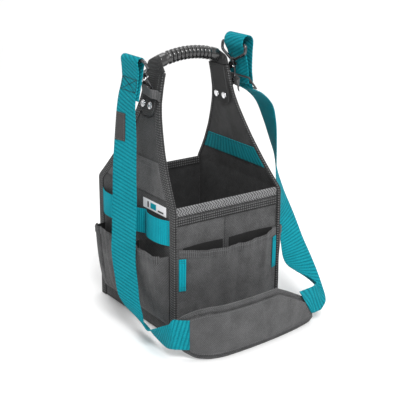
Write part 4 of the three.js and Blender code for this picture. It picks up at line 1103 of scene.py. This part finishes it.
def before_pad(x, out, z):
    x, out, z = np.broadcast_arrays(np.asarray(x, float), np.asarray(out, float), np.asarray(z, float))
    slope = (pad_middle(x + 1) - pad_middle(x - 1)) / 2
    normal = unit(np.stack([slope, -np.ones_like(slope), np.zeros_like(slope)], -1))
    return np.stack([x, pad_middle(x), z], -1) + normal * (PAD_THICK / 2 + out)[..., None]


def turned(degrees, rise):
    a = math.radians(degrees)
    return unit(np.array([math.cos(a), math.sin(a), rise]))


def joined_line(top, top_count, places, widths, count):
    """Places and width directions of a strap: a run with its width level, then one that turns."""
    loop = catmull(top, lin(0, 1, top_count))[:-1]
    shares = lin(0, 1, count)
    level = np.tile(DOWN_Y, (len(loop), 1))
    return (np.concatenate([loop, catmull(places, shares)]),
            np.concatenate([level, unit(catmull(widths, shares))]), len(loop))


def strap_run(side, table):
    """Places from millimetres outside the body and shares of the pad's distance and the neck's height."""
    return [(side * (BODY_HALF + out), PAD_Y * deep, NECK_TOP * high, turn, rise)
            for out, deep, high, turn, rise in table]


LEFT_RUN = strap_run(-1, [
    (7, 0.005, 0.969, -90, 0), (13, -0, 0.9, -88, 0), (21, 0.039, 0.766, -78, 0), (30, 0.087, 0.634, -73, 0),
    (35, 0.121, 0.526, -71, 0), (39, 0.131, 0.395, -71, 0), (41, 0.136, 0.297, -71, 0),
    (43, 0.189, 0.2105, -73, 0), (45, 0.237, 0.148, -77, 0), (45, 0.305, 0.11, -86, 0),
    (45, 0.387, 0.084, -102, 0.05), (45, 0.499, 0.072, -118, 0.25), (43, 0.591, 0.0694, -122, 0.75),
    (42, 0.707, 0.079, -120, 1.7), (42.5, 0.785, 0.091, -112, 3.2),
])
RIGHT_RUN = strap_run(1, [
    (21, 0.092, 0.8684, -90, 0), (40, 0.097, 0.8206, -92, 0), (49, 0.116, 0.749, -100, 0),
    (56, 0.136, 0.648, -115, 0), (58, 0.155, 0.591, -124, 0), (58, 0.184, 0.514, -131, 0),
    (62, 0.228, 0.431, -139, 0), (62, 0.31, 0.337, -160, 0), (51, 0.46, 0.254, -182, 0),
    (37, 0.639, 0.201, -210, 0.05), (33, 0.785, 0.163, -214, 0.55), (35, 0.891, 0.129, -214, 1.6),
    (29, 0.935, 0.11, -214, 6),
])


def eye_bar(hook):
    return to_world([(0, 0, EYE_HEIGHT)], hook_matrix(hook))[0]


def left_line():
    hook = HOOKS["left"]
    eye = eye_bar(hook)
    y, over = hook["y"] + hook["shift"], hook["over"]
    centre_z = eye[2] + EYE_WIRE + GAP + STRAP_THICK / 2 - over
    top = [np.array([x, y, z]) for x, z in (
        (-113.9, 380), (-109.2, 403), (eye[0] + over - 2.5, centre_z - 12))]
    for s in lin(0, 1, 9):
        a = math.pi * s
        top.append(np.array([eye[0] + over * math.cos(a), y, centre_z + over * math.sin(a)]))
    fall = np.array([(eye[0] - over) * 0.4 - 112 * 0.6, y, centre_z * 0.5 + 405 * 0.5])
    places = [top[-1], fall] + [np.array(r[:3], float) for r in LEFT_RUN]
    widths = [DOWN_Y, DOWN_Y] + [turned(r[3], r[4]) for r in LEFT_RUN]
    for back in (18, 12, 6, 0):
        places.append(before_pad(SLEEVE_START - GAP - back, 1.1 + 0.12 * back, STRAP_LIFT))
        widths.append(UP)
    return joined_line(top, 45, places, widths, 161)


ADJ_X, ADJ_Z = 96.0, 388.0
ADJ_Y = HOOKS["right"]["y"] + HOOKS["right"]["shift"]


def right_line():
    hook = HOOKS["right"]
    eye = eye_bar(hook)
    over = hook["over"]
    cx, cz = eye[0] - 3.7 + over, eye[2] + 4
    m = (ADJ_X, ADJ_Z)
    inner = [(2.7, -1.6), (1.2, -3), (-1.6, -2.9), (-3.4, 0.6), (-4.4, 7), (-5, 20), (-7, 34), (-9.6, 44),
             (-11.3, 49.5)]
    path = [(m[0] + a, m[1] + b) for a, b in inner] + [(eye[0] - 3.5, m[1] + 62)]
    for s in lin(0, 1, 9):
        a = math.pi * (1 - s)
        path.append((cx + over * math.cos(a), cz + over * math.sin(a)))
    path.append((cx + over - 1, cz - 16))
    outer = [(2.6, 36), (2.8, 18), (4.7, 3), (4.2, -4), (4.7, -10.5), (6.9, -13.6), (11, -13.9)]
    path += [(m[0] + a, m[1] + b) for a, b in outer]
    top = [np.array([x, ADJ_Y, z]) for x, z in path]
    places = [top[-1]] + [np.array(r[:3], float) for r in RIGHT_RUN]
    widths = [DOWN_Y] + [turned(r[3], r[4]) for r in RIGHT_RUN]
    return joined_line(top, 161, places, widths, 131)


ACROSS = np.array([-1, -0.97, -0.8, -0.5, -0.2, 0.2, 0.5, 0.8, 0.97, 1])


def strap_rows(places, widths, *_):
    return places[:, None] + widths[:, None] * (ACROSS * STRAP_WIDTH / 2)[None, :, None]


def slanted_row(back):
    high = ACROSS * STRAP_WIDTH / 2
    lean = 0.68 * high * (1 - back / 22)
    return before_pad(101 + back - lean, 1.1 + 0.12 * back, STRAP_LIFT + high)


left = left_line()
left_grid, left_loop = strap_rows(*left), left[2]
right_grid = np.concatenate([strap_rows(*right_line()), [
    slanted_row(back) for back in pchip([0, 1, 2, 3], [18, 12, 6, 0], lin(0, 3, 10))]])
for name, grid, side, node in (
    ("strap_front_run", left_grid, -1, "strap_left"), ("strap_back_run", right_grid, 1, "strap_right"),
):
    thick = STRAP_THICK * np.array([0.7, 1, 1, 1, 1, 1, 1, 1, 1, 0.7])
    shell(name, grid, np.tile(thick, (len(grid), 1)), "teal", (side, 0, 0), [node], bevel=0.4)

# What is sewn on the left strap: a box and cross through its folded end, and the bare tag

SEWN_TOP, SEWN_LOW, TAG_TOP, TAG_LOW = 415, 388, 360.3, 306.3


def strap_part(grid, high, low, after):
    """Shares across and down the part of a strap between two heights, as a surface."""
    z = grid[after:, 4, 2]
    keep = np.nonzero((z < high) & (z > low))[0] + after
    part = grid[keep[0]:keep[-1] + 1]
    down = run_of(part[:, 4])
    down /= down[-1]

    def surface(s, t):
        a, b = (np.stack([np.interp(t, down, part[:, edge, k]) for k in range(3)], -1) for edge in (0, -1))
        return a + (b - a) * np.asarray(s, float)[..., None]
    return surface


sewn = strap_part(left_grid, SEWN_TOP, SEWN_LOW, left_loop + 2)
for s0, t0, s1, t1 in (
    (0.07, 0.04, 0.93, 0.04), (0.07, 0.96, 0.93, 0.96), (0.07, 0.04, 0.07, 0.96), (0.93, 0.04, 0.93, 0.96),
    (0.07, 0.04, 0.93, 0.96), (0.93, 0.04, 0.07, 0.96),
):
    stitch_on(sewn, lin(s0, s1, 30), lin(t0, t1, 30), LEFT, 0.85, "deep", pitch=3.4, length=2.9, radius=0.55)

tag_part = strap_part(left_grid, TAG_TOP, TAG_LOW, left_loop + 2)
tag_on = lifted(lambda s, t: tag_part(0.03 + 0.48 * s, t), LEFT, 1.5)
sheet("tag", tag_on, 13, 30, 0.8, "tag", LEFT, ["strap_tag"])
tag_long, tag_wide = lin(0.03, 0.97, 30), lin(0.1, 0.9, 12)
for s, t in ((0.1, tag_long), (0.9, tag_long), (tag_wide, 0.05), (tag_wide, 0.95)):
    stitch_on(tag_on, s, t, LEFT, 0.45, pitch=2.8, length=1.9, radius=0.26)

# Three-bar slide on the right strap

SLIDE_HALF, SLIDE_REACH, BAR_WIDTH, RAIL_WIDTH, SLIDE_THICK = 32.0, 14.5, 2.8, 3.5, 2.4
slide_place = Matrix.Translation((ADJ_X, ADJ_Y, ADJ_Z)) @ Matrix.Rotation(math.atan2(20, 16), 4, "Y")
slide_angle = (np.arange(14) + 0.5) * 2 * math.pi / 14
slide_round = [np.sign(v) * np.abs(v) ** 0.55 / 2 for v in (np.cos(slide_angle), np.sin(slide_angle))]
bar_at = SLIDE_REACH - BAR_WIDTH / 2
slide_bars = [(at, SLIDE_HALF - 1.5, BAR_WIDTH, False) for at in (-bar_at, 0, bar_at)]
slide_bars += [(at, SLIDE_REACH - 0.4, RAIL_WIDTH, True) for at in (1.75 - SLIDE_HALF, SLIDE_HALF - 1.75)]
parts = []
for at, reach, width, rail in slide_bars:
    rings = []
    for p, r in ((-reach, 0.7), (0.6 - reach, 1), (reach - 0.6, 1), (reach, 0.7)):
        row = [at + slide_round[0] * width * r, np.full(14, p), slide_round[1] * SLIDE_THICK * r]
        rings.append(np.stack([row[1], row[0], row[2]] if rail else row, -1))
    points = to_world(np.concatenate(rings), slide_place)
    faces = [face[::-1] for face in skin(4, 14)] if rail else skin(4, 14)
    parts.append((points, faces, points[:, :2]))
make("slide", *join_parts(parts), ["slide"], ["strap_adjuster"], angle=45)

# Shoulder pad: foam between bound edges, with a cloth sleeve on its outer face

# Share along the pad, shares of its height at the lower and the upper edge
OUTLINE = np.array([
    (0, 0.3, 0.72), (0.03, 0.15, 0.84), (0.09, 0.03, 0.95), (0.16, 0, 1), (0.66, 0, 1), (0.76, 0, 0.85),
    (0.85, 0, 0.7), (0.97, 0.02, 0.48), (1, 0.08, 0.42),
])


def pad_edges(x):
    at = (np.asarray(x, float) - PAD_LOW) / PAD_LENGTH
    low = high = 0
    for d in lin(-0.012, 0.012, 5):
        low = low + np.interp(at + d, OUTLINE[:, 0], OUTLINE[:, 1]) / 5
        high = high + np.interp(at + d, OUTLINE[:, 0], OUTLINE[:, 2]) / 5
    return PAD_HEIGHT * low, PAD_HEIGHT * high


def pad_surface(s, t):
    x = PAD_LOW + PAD_LENGTH * s
    low, high = pad_edges(x)
    return np.stack([x, pad_middle(x), low + (high - low) * t], -1)


pad_s = np.unique(np.concatenate([lin(0, 0.05, 12), lin(0.05, 0.95, 90), lin(0.95, 1, 12)]))
pad_t = np.unique(np.concatenate([lin(0, 0.16, 10), lin(0.16, 0.84, 22), lin(0.84, 1, 10)]))
ss, tt = np.meshgrid(pad_s, pad_t)
pad_grid = pad_surface(ss, tt)
low, high = pad_edges(pad_grid[..., 0])
edge = np.minimum(np.minimum(pad_grid[..., 2] - low, high - pad_grid[..., 2]),
                  np.minimum(pad_grid[..., 0] - PAD_LOW, PAD_HIGH - pad_grid[..., 0]))
puff = np.clip((edge - 6) / 12, 0, 1)
puff = np.sqrt(1 - (1 - puff) ** 2)
edge_sheet = shell("pad_edge", pad_grid, 3.0, "pad", FRONT, ["shoulder_pad"], bevel=1.0)
pad_thick = 0.8 + 5.6 * puff
pad = shell("pad", pad_grid, pad_thick, "pad", FRONT, bevel=0.1)


def swell(obj, voxel, pressure, cap, furthest):
    """Fills a closed cloth form with air, then smooths it. Nothing moves more than the cap."""
    remesh = obj.modifiers.new("remesh", "REMESH")
    remesh.mode = "VOXEL"
    remesh.voxel_size = voxel
    graph = bpy.context.evaluated_depsgraph_get()
    mesh = bpy.data.meshes.new_from_object(obj.evaluated_get(graph))
    mesh.materials.clear()
    for mat in obj.data.materials:
        mesh.materials.append(mat)
    obj.modifiers.clear()
    obj.data = mesh
    start = np.empty(len(mesh.vertices) * 3)
    mesh.vertices.foreach_get("co", start)
    start = start.reshape(-1, 3)
    end = start
    cloth = obj.modifiers.new("cloth", "CLOTH")
    cloth.settings.use_pressure = True
    cloth.settings.uniform_pressure_force = pressure
    cloth.settings.effector_weights.gravity = 0
    cloth.settings.quality = 5
    for step in range(1, 21):
        bpy.context.scene.frame_set(step)
    graph = bpy.context.evaluated_depsgraph_get()
    moved = obj.evaluated_get(graph).data
    end = np.empty(len(moved.vertices) * 3)
    moved.vertices.foreach_get("co", end)
    end = end.reshape(-1, 3)
    obj.modifiers.remove(cloth)
    bpy.context.scene.frame_set(1)
    shift = end - start
    size = np.linalg.norm(shift, axis=1, keepdims=True)
    end = start + shift * np.minimum(1, cap / np.maximum(size, 1e-9))
    off = end[:, 1] - pad_middle(end[:, 0] * 1000) * 0.001
    end = end.copy()
    end[:, 1] -= off - np.clip(off, -furthest, furthest)
    mesh.vertices.foreach_set("co", end.ravel())
    layer = mesh.uv_layers.new(name="lengths")
    index = np.empty(len(mesh.loops), int)
    mesh.loops.foreach_get("vertex_index", index)
    layer.data.foreach_set("uv", end[index][:, [0, 2]].ravel())
    mesh.shade_smooth()
    smooth = obj.modifiers.new("smooth", "SUBSURF")
    smooth.levels = smooth.render_levels = 1


swell(pad, 0.004, 4.0, 0.006, 0.0045)

for inset in (3.0, 5.2):
    xs = lin(PAD_LOW + inset, PAD_HIGH - inset, 120)
    lows, highs = pad_edges(xs)
    for zs in (lows + inset, highs - inset):
        p = before_pad(xs, -PAD_THICK / 2 + 1.55, zs)
        n = unit(p - np.stack([xs, pad_middle(xs), zs], -1))
        stitch(p, n, pitch=3.6, radius=0.32)


def slow_ripple(x, y, seed):
    """A few fixed waves, about -1 to 1."""
    total = 0
    for k in range(5):
        a = math.sin(seed * 12.9 + k * 7.1) * 3.1
        fx, fy = 0.03 + 0.021 * k, 0.017 + 0.013 * ((k * 3) % 5)
        total = total + np.sin(x * fx * math.cos(a) + y * fy * 1.7 * math.sin(a) + k * 1.9 + seed)
    return total / 3.2


def sleeve_surface(s, t):
    foot = np.interp(s, (0, 0.9, 1), (SLEEVE_START, 104, 121))
    head = np.interp(s, (0, 0.9, 1), (SLEEVE_START, 93, 98.4))
    x = foot + (head - foot) * t
    low, high = pad_edges(x)
    z = low + 9 + (high - low - 18) * t
    over_strap = 1 / (1 + np.exp(-(27 - np.abs(z - STRAP_LIFT)) / 1.6))
    sag = 0.35 * slow_ripple(x * 1.2, z, 1)
    return before_pad(x, 1.6 + 1.7 * over_strap + sag, z)


sleeve = sheet("sleeve", sleeve_surface, 91, 41, 1.0, "pad", FRONT, ["pad_sleeve"], bevel=0.3)
for t0 in (0.03, 0.97):
    stitch_on(sleeve_surface, lin(0.01, 0.99, 120), t0, FRONT, 0.55)

# Stitches, one mesh for each thread

for kind, parts in STITCHES.items():
    slot = "teal" if kind == "teal" else "fabric"
    make(f"stitches_{kind}", *join_parts(parts), [f"thread_{kind}"], slot=slot, angle=80)

# Studio: a pale floor that curves up into a backdrop, and soft light


def studio():
    g = Graph("studio paper")
    g.colour(g.noise(3), [(0.3, (0.93, 0.93, 0.93)), (0.7, (0.95, 0.95, 0.95))])
    g.rough(0.9)
    away_dir = np.array([-away.x, -away.y])
    away_dir /= np.linalg.norm(away_dir)
    side_dir = np.array([-away_dir[1], away_dir[0]])
    bend = [(2.2 + 0.9 * math.sin(a), 0.9 - 0.9 * math.cos(a)) for a in lin(0.1, 1.5708, 12)]
    profile = [(-3.0, 0), (2.2, 0), *bend, (3.1, 4.0)]
    points, faces = [], []
    for d, z in profile:
        for w in (-4.5, 4.5):
            p = away_dir * d + side_dir * w
            points.append((p[0], p[1], z - 0.0004))
    for i in range(len(profile) - 1):
        faces.append((2 * i, 2 * i + 1, 2 * i + 3, 2 * i + 2))
    mesh = bpy.data.meshes.new("floor")
    mesh.from_pydata(points, [], faces)
    mesh.materials.append(g.mat)
    mesh.shade_smooth()
    floor = bpy.data.objects.new("floor", mesh)
    bpy.context.scene.collection.objects.link(floor)


studio()


def area_light(name, place, aim, size, power):
    data = bpy.data.lights.new(name, "AREA")
    data.shape = "DISK"
    data.size = size
    data.energy = power
    light = bpy.data.objects.new(name, data)
    light.location = place
    light.rotation_euler = (Vector(aim) - Vector(place)).to_track_quat("-Z", "Y").to_euler()
    bpy.context.scene.collection.objects.link(light)


area_light("key", (-0.8, -2.0, 2.3), (0, 0, 0.2), 1.2, 64)
area_light("fill", (1.9, -1.7, 1.5), (0, 0, 0.2), 1.8, 12)
area_light("top", (0.1, 0.5, 3.0), (0, 0, 0.2), 2.0, 30)
world = bpy.data.worlds.new("studio")
bpy.context.scene.world = world
world.use_nodes = True
world.node_tree.nodes["Background"].inputs[0].default_value = (1, 1, 1, 1)
world.node_tree.nodes["Background"].inputs[1].default_value = 0.66
bpy.context.scene.view_settings.view_transform = "Standard"

bpy.context.view_layer.update()
